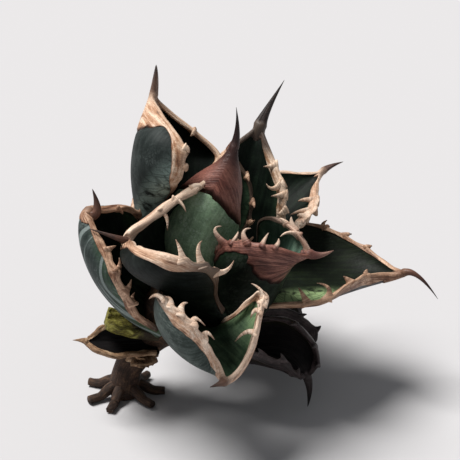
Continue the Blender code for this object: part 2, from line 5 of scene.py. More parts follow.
import bmesh
import bpy
import numpy as np
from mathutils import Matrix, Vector


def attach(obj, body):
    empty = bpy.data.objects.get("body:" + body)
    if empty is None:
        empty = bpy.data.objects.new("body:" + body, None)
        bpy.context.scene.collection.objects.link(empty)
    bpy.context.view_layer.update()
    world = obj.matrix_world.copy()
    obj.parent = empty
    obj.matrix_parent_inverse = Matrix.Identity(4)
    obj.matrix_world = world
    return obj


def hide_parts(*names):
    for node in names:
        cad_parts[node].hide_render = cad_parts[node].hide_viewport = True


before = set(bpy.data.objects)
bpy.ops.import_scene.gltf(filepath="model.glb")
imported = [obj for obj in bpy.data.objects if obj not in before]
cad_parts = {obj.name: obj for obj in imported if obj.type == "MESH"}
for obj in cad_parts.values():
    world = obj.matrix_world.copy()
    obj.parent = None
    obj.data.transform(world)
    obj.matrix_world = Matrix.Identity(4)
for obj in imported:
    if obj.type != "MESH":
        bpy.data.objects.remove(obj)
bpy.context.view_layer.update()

MM = 0.001
SEED = 20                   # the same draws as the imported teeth

# The leaf's cross-section, in millimetres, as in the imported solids.
EDGE_THICKNESS = 1.0
TIP_THICKNESS = 1.4
SPINE_RADIUS = 1.15
TOOTH_HOOK = 0.45
BLADE_END = 0.955           # u where the green ends, inside the horn
BLADE_RELIEF = 0.22         # height of the blade's shallow swells
PATTERN_STEP = 37.0         # keeps the patterns of two leaves apart

# Mesh density.
BLADE_ROWS = 72
BLADE_COLUMNS = 34
BAND_STEPS = 200
BAND_COLUMNS = 9
BEAD_STEPS = 5
TOOTH_ROWS = 12
TOOTH_SIDES = 10
SPINE_ROWS = 26
KEEL_ROWS = 12
KEEL_START = 0.84           # where, along the leaf, the spine starts inside the horn
SPINE_SIDES = 18

# The horny margin.
HORN_RAISE = 0.2            # how far it stands out of the blade's faces
BEAD_BULGE = 0.25
EDGE_THINNING = 0.4         # share of the edge's thickness that is taken off
CUSP_HEIGHT = 1.3           # the margin's rise towards a tooth
CUSP_SPREAD = 1.5
BORDER_WOBBLE = 0.28        # share of its width by which the border with the green wanders
NICKS = 0.35                # unevenness of the edge, outwards
SWAY = 1.3                  # and to the sides, for a leaf whose wave is 1
GROOVE = 0.4                # depth of the spine's groove, as a share of its radius
FADED_WIDTH = 0.35          # of the band near the leaf's base, as a share of its width
WIDEST_BAND = 1 / 2.2       # of the leaf's half width
COVERED = 0.72              # share of the band under which the green lies deeper
SUNK = 0.42                 # how deep, as a share of the leaf's thickness
CORNER = 0.36               # share of the margin's line that goes round the horn


def unit(ways):
    return ways / np.maximum(np.linalg.norm(ways, axis=-1, keepdims=True), 1e-9)


def dot(a, b):
    return np.sum(a * b, axis=-1, keepdims=True)


def squared(a, b):
    """a as a unit vector, turned to be at right angles to b."""
    return unit(a - b * dot(a, b))


def bent(start, middle, end, s):
    """Points on a curve from start to end, pulled towards middle."""
    return (1 - s) ** 2 * start + 2 * s * (1 - s) * middle + s * s * end


def vectors(x, y, z):
    return np.stack(np.broadcast_arrays(x, y, z), axis=-1)


def smooth(low, high, values):
    share = np.clip((values - low) / (high - low), 0, 1)
    return share * share * (3 - 2 * share)


def waves(draw, count, slowest, fastest):
    """A smooth random line: a sum of sines, as a function that gives about -1 to 1."""
    terms = [(draw.uniform(slowest, fastest), draw.uniform(0, 2 * math.pi), draw.uniform(0.5, 1))
             for _ in range(count)]
    total = sum(height for _, _, height in terms)

    def line(x):
        return sum(height * np.sin(2 * math.pi * rate * x + start)
                   for rate, start, height in terms) / total

    return line


# ---- materials. Their colours are in thousandths of full red, green and blue.

def rgba(colour):
    return (*(part / 1000 for part in colour), 1.0)


class Shader:
    """A node material, built call by call."""

    def __init__(self, name):
        self.material = bpy.data.materials.new(name)
        self.material.use_nodes = True
        self.tree = self.material.node_tree
        self.surface = self.tree.nodes["Principled BSDF"]
        self.colour = self.normal = None

    def node(self, kind, settings=(), **inputs):
        made = self.tree.nodes.new("ShaderNode" + kind)
        for key, value in dict(settings).items():
            setattr(made, key, value)
        for key, value in inputs.items():
            self.put(made.inputs[int(key[2:]) if key.startswith("at") else key.replace("_", " ")], value)
        return made

    def put(self, socket, value):
        if isinstance(value, bpy.types.NodeSocket):
            self.tree.links.new(value, socket)
        elif isinstance(value, tuple) and len(value) == 3 and len(socket.default_value) == 4:
            socket.default_value = rgba(value)
        else:
            socket.default_value = value

    def attribute(self, name):
        return self.node("Attribute", {"attribute_name": name}).outputs["Vector"]

    def split(self, vector):
        return self.node("SeparateXYZ", Vector=vector).outputs[:3]

    def math(self, operation, a, b=0.0):
        return self.node("Math", {"operation": operation}, at0=a, at1=b).outputs[0]

    def times(self, a, b):
        return self.math("MULTIPLY", a, b)

    def weighed(self, a, share, b):
        return self.math("ADD", self.times(a, share), self.times(b, 1 - share))

    def scaled(self, vector, factors):
        return self.node("VectorMath", {"operation": "MULTIPLY"}, at0=vector, at1=factors).outputs[0]

    def noise(self, vector, scale, detail=3.0, roughness=0.55, distortion=0.0):
        return self.node("TexNoise", Vector=vector, Scale=scale, Detail=detail, Roughness=roughness,
                         Distortion=distortion).outputs[0]

    def cells(self, vector, scale, feature="F1"):
        made = self.node("TexVoronoi", {"feature": feature}, Vector=vector, Scale=scale)
        return made.outputs["Distance"]

    def cracks(self, vector, scale):
        return self.cells(vector, scale, "DISTANCE_TO_EDGE")

    def span(self, value, low, high, start=0.0, end=1.0):
        return self.node("MapRange", {"interpolation_type": "SMOOTHSTEP"}, at0=value, at1=low, at2=high,
                         at3=start, at4=end).outputs[0]

    def ramp(self, value, stops):
        made = self.node("ValToRGB", at0=value)
        elements = made.color_ramp.elements
        while len(elements) < len(stops):
            elements.new(0.5)
        for element, (place, colour) in zip(elements, stops):
            element.position = place
            element.color = rgba(colour)
        return made.outputs[0]

    def mix(self, share, a, b):
        made = self.node("Mix", {"data_type": "RGBA"}, at0=share)
        self.put(made.inputs[6], a)
        self.put(made.inputs[7], b)
        return made.outputs[2]

    def paint(self, share, colour):
        """Lays a colour over the ones that are there."""
        self.colour = self.mix(share, self.colour, colour)

    def bump(self, height, strength, distance):
        """Adds relief to what is there. distance is in millimetres."""
        made = self.node("Bump", Height=height, Strength=strength, Distance=distance * MM)
        if self.normal:
            self.put(made.inputs["Normal"], self.normal)
        self.normal = made.outputs[0]

    def finish(self, roughness, specular):
        for key, value in {"Base Color": self.colour, "Normal": self.normal, "Roughness": roughness,
                           "Specular IOR Level": specular}.items():
            if value is not None:
                self.put(self.surface.inputs[key], value)
        return self.material


# Every material, under a short name. Each material function adds its own.
MATERIALS = {}
PALE_HORN = (420, 250, 170), (800, 600, 460)
# The band's colour towards the leaf's base: partly the horn thinning out, partly painted shade.
FADED_SHADED_HORN = (20, 14, 9)


def skin_material(name, inner, back, bloom=0.5, bloom_colour=(130, 200, 170), strip=(60, 200, 40),
                  strip_amount=0.5, strip_side=0.0, strip_from=0.62, strip_top=1.2, strip_slope=0.0,
                  wrinkles=0.15, base=(50, 80, 25), stripes=0.0):
    """Leaf skin, with its own dark, middle and light green for the inner side and for the back.

    It has streaks along the leaf, a waxy bloom that cracks, and a bright strip beside the margin, partly
    the skin's paler colour and partly painted light on a flank that the light falls on. Its greens hold
    painted shade: a side that lies in shadow gets near-black shades.
    strip_side keeps that strip to one side (-1 or 1), strip_from says how wide it is, strip_top how
    far up the leaf it goes, and strip_slope how much it narrows on the way.
    """
    s = Shader("skin_" + name)
    place = s.attribute("leaf_mm")
    u, v, face = s.split(s.attribute("leaf_share"))
    patches = s.noise(place, 0.13, 4, 0.6, 0.4)
    streaks = s.noise(s.scaled(place, (0.07, 1.0, 1.0)), 1.0, 4, 0.6)
    grain = s.noise(place, 2.6, 3, 0.6)
    tone = s.weighed(patches, 0.55, streaks)
    # The two sides' greens hold painted shade: a side that lies in shadow is given near-black shades.
    sides = [s.ramp(tone, list(zip((0.38, 0.5, 0.64), shades))) for shades in (inner, back)]
    s.colour = s.mix(face, *sides)
    near_rim = s.times(v, strip_side) if strip_side else s.math("ABSOLUTE", v)
    if strip_slope:
        near_rim = s.math("SUBTRACT", near_rim, s.times(s.math("SUBTRACT", u, 0.5), strip_slope))
    flakes = s.cracks(s.scaled(place, (1.0, 0.45, 1.0)), 0.5)
    rim = s.span(near_rim, strip_from, strip_from + 0.32)
    rim = s.times(rim, s.span(s.noise(place, 0.3, 3), 0.3, 0.5))
    rim = s.times(rim, s.span(u, strip_top - 0.2, strip_top, strip_amount, 0.0))
    rim = s.times(rim, s.span(flakes, 0.01, 0.09, 0.45, 1.0))
    # The strip: partly the skin's paler colour, partly painted light on a flank that the light falls on.
    s.paint(rim, strip)
    s.paint(s.times(s.span(u, 0.0, 0.35, 0.8, 0.0), s.span(streaks, 0.35, 0.65)), base)
    crack = s.span(s.cracks(s.scaled(place, (0.8, 1.6, 1.0)), 0.85), 0.02, 0.16)
    wax = s.span(s.noise(place, 0.19, 5, 0.65, 0.6), 0.46, 0.62)
    wax = s.times(s.times(wax, crack), s.span(face, 0, 1, 0.1 * bloom, bloom))
    if stripes:
        lines = s.span(s.noise(s.scaled(place, (0.04, 0.75, 1.0)), 1.0, 2, 0.4), 0.53, 0.6)
        lines = s.times(lines, s.span(face, 0, 1, 0.0, stripes))
        wax = s.math("MAXIMUM", wax, lines)
    s.paint(wax, bloom_colour)
    specks = s.times(s.span(s.cells(place, 0.9), 0.10, 0.2, 1.0, 0.0), s.span(grain, 0.5, 0.62))
    s.paint(s.times(specks, 0.4 * bloom), bloom_colour)
    s.paint(s.span(grain, 0.3, 0.7, 0.3, 0.0), (2, 4, 3))
    roughness = s.math("ADD", s.times(wax, 0.2), s.span(grain, 0.3, 0.7, 0.5, 0.62))
    s.bump(streaks, wrinkles, 0.6)
    s.bump(grain, 0.12, 0.15)
    s.bump(crack, 0.3 * bloom, 0.2)
    MATERIALS[name] = s.finish(roughness, 0.1)


def horn_material(name, dark, tan, cream, spine, tip, fresh=0.5, patch_scale=0.22, specks=0.0,
                  pale_side=0.0, dark_from=0.97, dark_to=1.02):
    """Horny margin: fibres along it, patches from cream to brown, a dark line beside the green that is
    partly the horn's browner border and partly painted shade under its raised edge.

    fresh is how cream the edge is, pale_side a paler side (-1 or 1), and specks the amount of cream
    specks. From dark_from to dark_to, along the leaf, it takes the spine's colour.
    """
    s = Shader("horn_" + name)
    place = s.attribute("leaf_mm")
    across, along_spine, along_tooth = s.split(s.attribute("horn_share"))
    u, v, _ = s.split(s.attribute("leaf_share"))
    fade = s.node("Attribute", {"attribute_name": "horn_fade_shade"}).outputs["Fac"]
    fibres = s.noise(s.scaled(place, (0.22, 2.2, 1.0)), 1.0, 4, 0.6, 0.3)
    patches = s.noise(place, patch_scale, 4, 0.6, 0.5)
    grain = s.noise(place, 2.4, 3, 0.65)
    tone = s.weighed(patches, 0.6, fibres)
    s.colour = s.ramp(tone, [(0.37, dark), (0.47, tan), (0.58, cream)])
    if pale_side:
        pale = s.times(s.span(s.times(v, pale_side), 0.2, 0.7), 0.85)
        s.paint(pale, s.ramp(tone, [(0.38, PALE_HORN[0]), (0.55, PALE_HORN[1])]))
    s.paint(s.times(s.span(across, 0.55, 1.0), fresh), cream)
    # The dark line beside the green: partly the horn's browner border, partly painted shade under its
    # raised edge.
    s.paint(s.span(across, 0.03, 0.16, 0.92, 0.0), dark)
    if specks:
        spots = s.times(s.span(s.cells(place, 1.1), 0.12, 0.24, specks, 0.0), s.span(grain, 0.45, 0.6))
        s.paint(spots, cream)
    # Near the leaf's base the band is near black: partly the horn thinning out, partly painted shade.
    s.paint(s.times(fade, 0.9), FADED_SHADED_HORN)
    s.paint(s.times(s.span(u, dark_from, dark_to), s.span(fibres, 0.2, 0.8, 0.8, 1.0)), spine)
    s.paint(s.span(along_spine, 0.02, 0.2), spine)
    s.paint(s.span(along_spine, 0.3, 0.9), tip)
    if pale_side:
        s.paint(s.span(along_tooth, 0.02, 0.5, 0.0, 0.8), PALE_HORN[1])
    else:
        s.paint(s.span(along_tooth, 0.6, 1.0, 0.0, 0.6), dark)
    s.paint(s.span(grain, 0.35, 0.65, 0.4, 0.0), dark)
    roughness = s.span(fibres, 0.3, 0.7, 0.58, 0.42)
    s.bump(fibres, 0.45, 0.5)
    s.bump(grain, 0.35, 0.25)
    MATERIALS[name] = s.finish(roughness, 0.35)


def dry_material(name, dark, light, pale, scale=0.35, painted_shade_to=0.0):
    """Papery or corky dead tissue. Its base is darkened as painted shade, up to the share of its length
    that the last argument gives.
    """
    s = Shader("dry_" + name)
    place = s.attribute("leaf_mm")
    fibres = s.noise(s.scaled(place, (0.25, 1.8, 1.0)), 1.0, 5, 0.65, 0.5)
    patches = s.noise(place, scale, 4, 0.6, 0.6)
    grain = s.noise(place, 3.0, 3, 0.7)
    tone = s.weighed(patches, 0.5, fibres)
    s.colour = s.ramp(tone, [(0.38, dark), (0.5, light), (0.66, pale)])
    s.paint(s.span(grain, 0.35, 0.6, 0.5, 0.0), dark)
    # Painted shade: darker from the base up, where the piece lies in shadow.
    if painted_shade_to:
        along = s.math("ADD", s.split(s.attribute("leaf_share"))[0], s.times(patches, 0.5))
        s.paint(s.span(along, painted_shade_to + 0.1, painted_shade_to + 0.35, 0.95, 0.0), dark)
    s.bump(fibres, 0.6, 0.8)
    s.bump(grain, 0.5, 0.4)
    MATERIALS[name] = s.finish(s.span(grain, 0.3, 0.7, 0.75, 0.6), 0.3)


# ---- meshes

class Surface:
    """Collects closed rings of points, with what the materials read, into one mesh."""

    def __init__(self):
        self.points, self.faces, self.place, self.share, self.horn, self.fade = [], [], [], [], [], []
        self.count = 0

    def add_rings(self, points, place, share=0.0, horn=0.0, fade=0.0):
        """points is a (rows, ring, 3) array, and the rest fits it. Rings close; both ends are capped."""
        rows, ring = points.shape[:2]
        first = self.count
        for values, store in ((points, self.points), (place, self.place), (share, self.share),
                              (horn, self.horn)):
            store.append(np.broadcast_to(values, points.shape).reshape(-1, 3))
        self.fade.append(np.broadcast_to(fade, (rows, ring)).reshape(-1))
        for i in range(rows - 1):
            low, high = first + i * ring, first + (i + 1) * ring
            for j in range(ring):
                k = (j + 1) % ring
                self.faces.append((low + j, low + k, high + k, high + j))
        self.faces.append(tuple(range(first, first + ring)))
        self.faces.append(tuple(range(first + (rows - 1) * ring, first + rows * ring)))
        self.count += rows * ring

    def piece(self, name, material, slot, *nodes):
        """The mesh as a piece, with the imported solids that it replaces."""
        data = bpy.data.meshes.new(name)
        data.from_pydata((np.concatenate(self.points) * MM).tolist(), [], self.faces)
        mesh = bmesh.new()
        mesh.from_mesh(data)
        bmesh.ops.recalc_face_normals(mesh, faces=mesh.faces)
        mesh.to_mesh(data)
        mesh.free()
        vector, number = ("FLOAT_VECTOR", "vector"), ("FLOAT", "value")
        for key, store, (kind, field) in (
                ("leaf_mm", self.place, vector), ("leaf_share", self.share, vector),
                ("horn_share", self.horn, vector), ("horn_fade_shade", self.fade, number)):
            values = np.concatenate(store).astype(np.float32).ravel()
            data.attributes.new(key, kind, "POINT").data.foreach_set(field, values)
        data.polygons.foreach_set("use_smooth", [True] * len(data.polygons))
        data.materials.append(MATERIALS[material])
        made = placed(name, data)
        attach(made, "root")
        if nodes:
            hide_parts(*nodes)


def placed(name, data):
    made = bpy.data.objects.new(name, data)
    bpy.context.scene.collection.objects.link(made)
    return made


def full_turn(sides):
    return np.linspace(0, 2 * math.pi, sides, endpoint=False)


def tangents(centres):
    return unit(np.gradient(centres, axis=0))


def rings(centres, first, wide, thin, turns):
    """Rings of points round a line of centres: first is the direction of their width."""
    second = np.cross(tangents(centres), first)
    return (centres[:, None] + first[:, None] * (np.cos(turns) * wide)[..., None]
            + second[:, None] * (np.sin(turns) * thin)[..., None])


def beside(centres, way):
    """Directions at right angles to the line and to way."""
    return unit(np.cross(tangents(centres), way))


def tube(centres, across, radii, flatten, sides):
    """Oval rings, with their width as near across as they can have it."""
    first = squared(across, tangents(centres))
    return rings(centres, first, radii[:, None], (radii * flatten)[:, None], full_turn(sides))


# ---- the leaf

class Leaf:
    """A gutter-shaped leaf. u runs from base to tip, v from one margin (-1) to the other (1).

    Pairs are for the two sides, -1 and 1. fold is half of the angle that the cross-section bends
    through, at the base, halfway and at the tip, and bare is where the teeth start. The horn covers
    the tip from horn on, on the back, and from inner_horn on, on the inner side; it sags by dip in
    the middle. band is the margin's width on the inner side and the back, first for the side -1.
    It is thin and dark up to fade, the dark partly the horn thinning out and partly painted shade near the
    base; it is bent by roll degrees and thickened by swell. stout and sharp shape the end spine, and bow
    bends it. looks and horny are materials.
    """

    USUAL = dict(
        base=0.6, widest=0.55, taper=1.5, fold=(50, 60, 60), thick=3.2, horn=0.85, inner_horn=0.95,
        dip=0.05, bow=0.4, teeth=6, tooth=3.2, bare=(0.2, 0.2), wave=0.4, band=(1.3, 1.9, 1.3, 1.9),
        roll=(0, 0), curl=None, swell=(0, 0), fade=(0.12, 0.12), stout=1.0, sharp=0.8, looks="green",
        horny="cream")

    def __init__(self, path, face, width, **own):
        for key, value in {**self.USUAL, **own}.items():
            setattr(self, key, value)
        self.path = [np.array(point, float) for point in path]
        self.face = [unit(np.array(direction, float)) for direction in face]
        self.width = width
        self.curl = self.curl or 0.92 * min(self.band)
        steps = np.diff(self.middle(np.linspace(0, 1, 20)), axis=0)
        self.length = float(np.linalg.norm(steps, axis=1).sum())

    def middle(self, u):
        """Cubic through the first four points of the path."""
        a, b, c, d = self.path[:4]
        u = np.asarray(u, float)[..., None]
        return (a * -4.5 * (u - 1 / 3) * (u - 2 / 3) * (u - 1)
                + b * 13.5 * u * (u - 2 / 3) * (u - 1)
                - c * 13.5 * u * (u - 1 / 3) * (u - 1)
                + d * 4.5 * u * (u - 1 / 3) * (u - 2 / 3))

    def frame(self, u):
        u = np.asarray(u, float)
        along = unit(self.middle(u + 0.01) - self.middle(u - 0.01))
        inner = (1 - u)[..., None] * self.face[0] + u[..., None] * self.face[1]
        inner = squared(inner, along)
        return along, np.cross(along, inner), inner

    def half_width(self, u):
        rise = 0.5 - 0.5 * np.cos(math.pi * np.clip(u / self.widest, 0, 1))
        fall = np.clip((u - self.widest) / (1 - self.widest), 0, 1)
        return self.width * (self.base + (1 - self.base) * rise) * (1 - fall ** 2) ** self.taper

    def thickness(self, u, v):
        ridge = TIP_THICKNESS + (self.thick - TIP_THICKNESS) * np.clip(1 - u, 0, 1) ** 0.7
        return EDGE_THICKNESS + (ridge - EDGE_THICKNESS) * np.clip(1 - v * v, 0, 1)

    def turn(self, u):
        """Half of the angle that the cross-section bends through, in radians."""
        first, half, last = np.radians(self.fold)
        return first * (1 - u) * (1 - 2 * u) + 4 * half * u * (1 - u) + last * u * (2 * u - 1)

    def normal(self, u, v):
        _, across, inner = self.frame(u)
        turn = (self.turn(u) * v)[..., None]
        return inner * np.cos(turn) - across * np.sin(turn)

    def outward(self, u, v):
        _, across, inner = self.frame(u)
        turn = (self.turn(u) * np.abs(v))[..., None]
        side = np.where(np.asarray(v) > 0, 1.0, -1.0)[..., None]
        return across * side * np.cos(turn) + inner * np.sin(turn)

    def sheet(self, u, v):
        """Point on the even inner face."""
        _, across, inner = self.frame(u)
        turn = self.turn(u)
        reach = self.half_width(u) / turn
        return (self.middle(u) + across * (reach * np.sin(turn * v))[..., None]
                + inner * (reach * (1 - np.cos(turn * v)))[..., None])

    def through(self, u, v):
        """Direction straight through the sheet, which slants where the leaf narrows."""
        low = np.minimum(u, 0.95)
        along = self.sheet(low + 0.01, v) - self.sheet(low - 0.01, v)
        across = self.sheet(low, v + 0.02) - self.sheet(low, v - 0.02)
        slanting, straight = unit(np.cross(across, along)), self.normal(u, v)
        return unit(straight + (slanting - straight) * smooth(1.0, 0.93, u)[..., None])

    def skin(self, u, v, depth, grow=0.0):
        """Point on the inner face (depth 0), the back (depth 1) or between them."""
        u, v, depth, grow = np.broadcast_arrays(u, v, depth, grow)
        ripple = self.wave * np.abs(v) ** 3 * np.sin(math.pi * u)
        ripple = ripple * np.sin(2 * math.pi * (3.3 * u + np.where(v > 0, 0.25, 0.0)))
        below = depth * self.thickness(u, v) - ripple + grow * (2 * depth - 1)
        return self.sheet(u, v) - self.through(u, v) * below[..., None]

    def spine(self, s):
        start, end = self.path[3:]
        lead = unit(self.middle(1.0) - self.middle(0.98)) * self.bow * np.linalg.norm(end - start)
        return bent(start, start + lead, end, s[..., None])

    def rolled(self, points, u, v, depth):
        """The points, with curl mm beside the margin bent over by roll, towards the inner side."""
        side = np.where(np.asarray(v) < 0, -1.0, 1.0)
        u, v, side, depth = np.broadcast_arrays(u, v, side, depth)
        angle = np.radians(np.where(side < 0, self.roll[0], self.roll[1]))
        angle = angle * smooth(0.1, 0.35, u) * smooth(self.horn + 0.08, self.horn - 0.05, u)
        angle = np.where(np.abs(angle) < 0.01, 0.01, angle)
        run = unit(self.skin(u + 0.01, side, 0.5) - self.skin(u - 0.01, side, 0.5))
        outward = self.outward(u, side)
        normal, across = squared(self.normal(u, side), run), squared(outward, run)
        reach = self.curl * dot(across, outward)[..., 0]
        inside = np.clip(1 - (1 - np.abs(v)) * self.half_width(u) / self.curl, 0, 1)
        turn, height = angle * inside, (0.5 - depth) * self.thickness(u, v)
        sideways = reach / angle * np.sin(turn) - reach * inside - height * np.sin(turn)
        lifted = reach / angle * (1 - np.cos(turn)) + height * (np.cos(turn) - 1)
        return points + across * sideways[..., None] + normal * lifted[..., None]

    def sunk(self, u, v, back):
        """How deep the green lies under the horn that covers it, as a share of the thickness."""
        side = np.where(v < 0, -1.0, 1.0)
        near, near_back, far, far_back = self.band
        width = np.where(side < 0, np.where(back > 0, near_back, near),
                         np.where(back > 0, far_back, far))
        width = COVERED * np.minimum(width * self.narrowing(u, side), self.half_width(u) * WIDEST_BAND)
        beside = smooth(width, 0.4 * width, (1 - np.abs(v)) * self.half_width(u))
        line = np.where(back > 0, self.horn, max(self.inner_horn, self.horn))
        line = line - np.where(back > 0, self.dip, 0.3 * abs(self.dip)) * (1 - np.abs(v))
        return SUNK * np.maximum(beside, smooth(line - 0.01, line + 0.03, u))

    def faded(self, u, side):
        """1 where the band is thin and dark, towards the leaf's base, and 0 further up; the dark is partly
        painted shade.
        """
        ends = np.where(np.asarray(side) < 0, self.fade[0], self.fade[1])
        return smooth(ends + 0.08, ends - 0.08, u)

    def narrowing(self, u, side):
        return 1 - (1 - FADED_WIDTH) * self.faded(u, side)


def root_of(leaf, u, side):
    """A tooth's root, and the outward, lengthwise and normal directions there."""
    return leaf.skin(u, side, 0.5), leaf.outward(u, side), leaf.frame(u)[0], leaf.normal(u, side)


def teeth_of(name, leaf, number):
    """Place, side, root, middle and tip of each tooth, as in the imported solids."""
    found = []
    for side, u, middle, tip in TEETH.get(name, ()):
        root, *axes = root_of(leaf, u, side)
        found.append((u, side, root, root + np.array(middle) @ axes, root + np.array(tip) @ axes))
    if found:
        return found
    draw = random.Random(number + SEED)
    for side, bare in zip((-1, 1), leaf.bare):
        for k in range(leaf.teeth):
            u = bare + (leaf.horn - bare) * (k + 0.5 + draw.uniform(-0.25, 0.25)) / leaf.teeth
            root, outward, along, normal = root_of(leaf, u, side)
            out = unit(outward + normal * draw.uniform(-0.1, 0.4))
            hook = along * draw.choice((-1, -1, 1)) + normal * draw.uniform(-0.3, 0.6)
            hook = squared(hook, out) * TOOTH_HOOK
            length = leaf.tooth * (0.6 + 0.4 * math.sin(math.pi * u)) * draw.uniform(0.75, 1.2)
            found.append((u, side, root, root + (out / 2 + hook / 4) * length,
                          root + (out + hook) * length))
    return found


def leaf_place(leaf, number, u, v, back):
    """Millimetres along and across the leaf, for the materials; each leaf and face has its own place."""
    return vectors(u * leaf.length, v * leaf.half_width(u), PATTERN_STEP * number + 9.0 * back)


def both_faces(columns):
    """v and back for one ring of points: across the inner face, then back across the other."""
    half = np.linspace(-1, 1, columns)
    return np.concatenate([half, half[::-1]])[None], np.repeat([0.0, 1.0], columns)[None]


def add_blade(name, leaf, number):
    """The green sheet. Its sides and its tip end inside the margin."""
    draw = random.Random(100 + number)
    swells = waves(draw, 5, 0.6, 2.2)
    dents = waves(draw, 5, 1.5, 4.0)
    us = np.linspace(0, BLADE_END, BLADE_ROWS)[:, None]
    band = min(leaf.band) * (1 - (1 - FADED_WIDTH) * leaf.faded(us, -1) * leaf.faded(us, 1))
    reach = 1 - 0.5 * band / np.maximum(leaf.half_width(us), 1.6 * band)
    v, back = both_faces(BLADE_COLUMNS)
    u, v, back = np.broadcast_arrays(us, v * reach, back)
    uneven = BLADE_RELIEF * swells(u + 0.6 * v) * dents(v * 0.5 + u * 0.3) * smooth(0.0, 0.2, u)
    uneven = uneven * (1 - v ** 4) * smooth(leaf.horn + 0.05, leaf.horn - 0.2, u)
    depth = 0.5 + (back - 0.5) * (1 - 2 * leaf.sunk(u, v, back))
    points = leaf.skin(u, v, depth) + leaf.normal(u, v) * uneven[..., None]
    points = leaf.rolled(points, u, v, depth)
    surface = Surface()
    surface.add_rings(points, leaf_place(leaf, number, u, v, back), vectors(u, v, back))
    surface.piece(name + "_sheet", leaf.looks, SLOTS.get(leaf.looks, "green_leaf"), name + "_blade")


def side_of(t):
    return np.sign(t) + (t == 0)


def along_margin(leaf, t):
    """For t, -1 to 1 along the margin: the side, how near it is to the horn's corner, u beside it."""
    way = (np.abs(t) - CORNER) / (1 - CORNER)
    return side_of(t), np.clip(np.abs(t) / CORNER, 0, 1), leaf.horn * (1 - np.clip(way, 0, 1))


def band_line(leaf, t, back, wobble, cusp):
    """The green's border in (u, v) for each t: up one side, round the horn and down the other.

    On the back the horn covers the tip from leaf.horn on, and on the inner side from inner_horn on.
    """
    side, q, u = along_margin(leaf, t)
    width = np.where(side < 0, leaf.band[back], leaf.band[2 + back])
    width = (width * (1 + BORDER_WOBBLE * wobble(t * 3)) + 0.5 * cusp) * leaf.narrowing(u, side)
    if back:
        sweep, dip = q, leaf.dip
    else:
        sweep, dip = np.clip(2 * q, 0, 1), 0.3 * abs(leaf.dip)
        top = max(leaf.inner_horn, leaf.horn)
        u = np.where(q < 1, leaf.horn + (top - leaf.horn) * np.clip(2 * (1 - q), 0, 1), u)
    edge = 1 - width / np.maximum(leaf.half_width(u), width / WIDEST_BAND)
    v = side * edge * sweep
    dropped = u - dip * (1 - np.abs(v)) + 0.8 / leaf.length * wobble(t * 6 + 5) * (1 - sweep ** 4)
    u = np.where(q < 1, dropped, u - dip * (1 - edge) * smooth(1.0, 0.75, np.abs(t)) ** 2)
    return u, v


def outline(leaf, t):
    """The margin's outer edge in (u, v) for each t."""
    side, q, up_side = along_margin(leaf, t)
    u = np.where(q >= 1, up_side, np.minimum(1.0, 1 - (1 - leaf.horn) * (q - 0.5) / 0.5))
    return np.clip(u, 0, 1), side * np.clip(2 * q, 0, 1)


def add_margin(name, leaf, number):
    """The horny margin: a raised band round the whole leaf, with the horn, the spine and the teeth."""
    draw = random.Random(200 + number)
    teeth = teeth_of(name, leaf, number)
    surface = Surface()
    wobbles = [waves(draw, 6, 0.6, 2.6) for _ in range(2)]
    flutter = waves(draw, 7, 1.5, 6.0)
    flakes = waves(draw, 6, 4.0, 11.0)

    def cusps(u, side):
        rise = np.zeros_like(u)
        for spot, tooth_side, root, middle, _ in teeth:
            size = min(float(np.linalg.norm(middle - root)) / 2.0, 1.3)
            near = size * np.exp(-np.abs(u - spot) * leaf.length / CUSP_SPREAD)
            rise = np.maximum(rise, near * (side == tooth_side))
        return rise

    # The steps are closer together round the tip, and stop a little short of the leaf's base.
    ends = np.linspace(-1, 1, BAND_STEPS)
    t = np.sign(ends) * np.abs(ends) ** 1.15 * 0.97
    side = side_of(t)[:, None]
    w = np.linspace(0, 1, BAND_COLUMNS)
    u_edge, v_edge = (line[:, None] for line in outline(leaf, t))
    rows = []
    for back in (0, 1):
        border = band_line(leaf, t, back, wobbles[back], cusps(u_edge, side)[:, 0])
        u, v = (line[:, None] * (1 - w) + edge * w for line, edge in zip(border, (u_edge, v_edge)))
        rows.append((u, v, np.full_like(u, float(back))))
    bead = np.broadcast_arrays(u_edge, v_edge, np.linspace(0, 1, BEAD_STEPS + 2)[1:-1])
    u, v, depth = (np.concatenate([rows[0][i], bead[i], rows[1][i][:, ::-1]], axis=1) for i in range(3))
    share = np.concatenate([w, np.ones(BEAD_STEPS), w[::-1]])[None]
    at_edge = np.abs(v_edge) ** 3
    lift = HORN_RAISE * (smooth(0.0, 0.1, share) * 1.6 - 0.6) * (1 + 0.35 * flakes(u * 2 + v))
    swell = np.where(side < 0, *leaf.swell) * (1 - leaf.faded(u, side))
    swell = swell * (0.8 + 0.6 * flutter(u * 1.7 + 0.4) + 0.4 * flakes(u + 0.3))
    lift = lift + swell * smooth(0.15, 0.85, share) * at_edge
    thin = 0.5 + (depth - 0.5) * (1 - EDGE_THINNING * share ** 2 * at_edge)
    points = leaf.skin(u, v, thin, lift)
    push = BEAD_BULGE * np.sin(math.pi * depth) + CUSP_HEIGHT * cusps(u, side)
    push = (push + NICKS * flutter(u * 2.3 + 0.21 * side) - 0.2) * share ** 2 * at_edge
    points = points + leaf.outward(u, side) * (push * smooth(0.0, 0.1, u))[..., None]
    sway = SWAY * leaf.wave * flutter(u + 0.37 * side) * share ** 2 * at_edge * smooth(0.03, 0.2, u)
    points = points + leaf.normal(u, side) * sway[..., None]
    points = leaf.rolled(points, u, side * np.abs(v), depth)
    inwards = (1 - np.abs(v)) * leaf.half_width(u)
    place = vectors(u * leaf.length, inwards, PATTERN_STEP * number + 9 * depth + 0.12 * v * leaf.width)
    surface.add_rings(points, place, vectors(u, v, depth), vectors(share, 0, 0), leaf.faded(u, side))
    for tooth in teeth:
        add_tooth(surface, leaf, number, tooth)
    add_spine(surface, leaf, number)
    surface.piece(name + "_horn", leaf.horny, HORN_SLOTS.get(leaf.horny, "cream_horn"), name + "_margin")


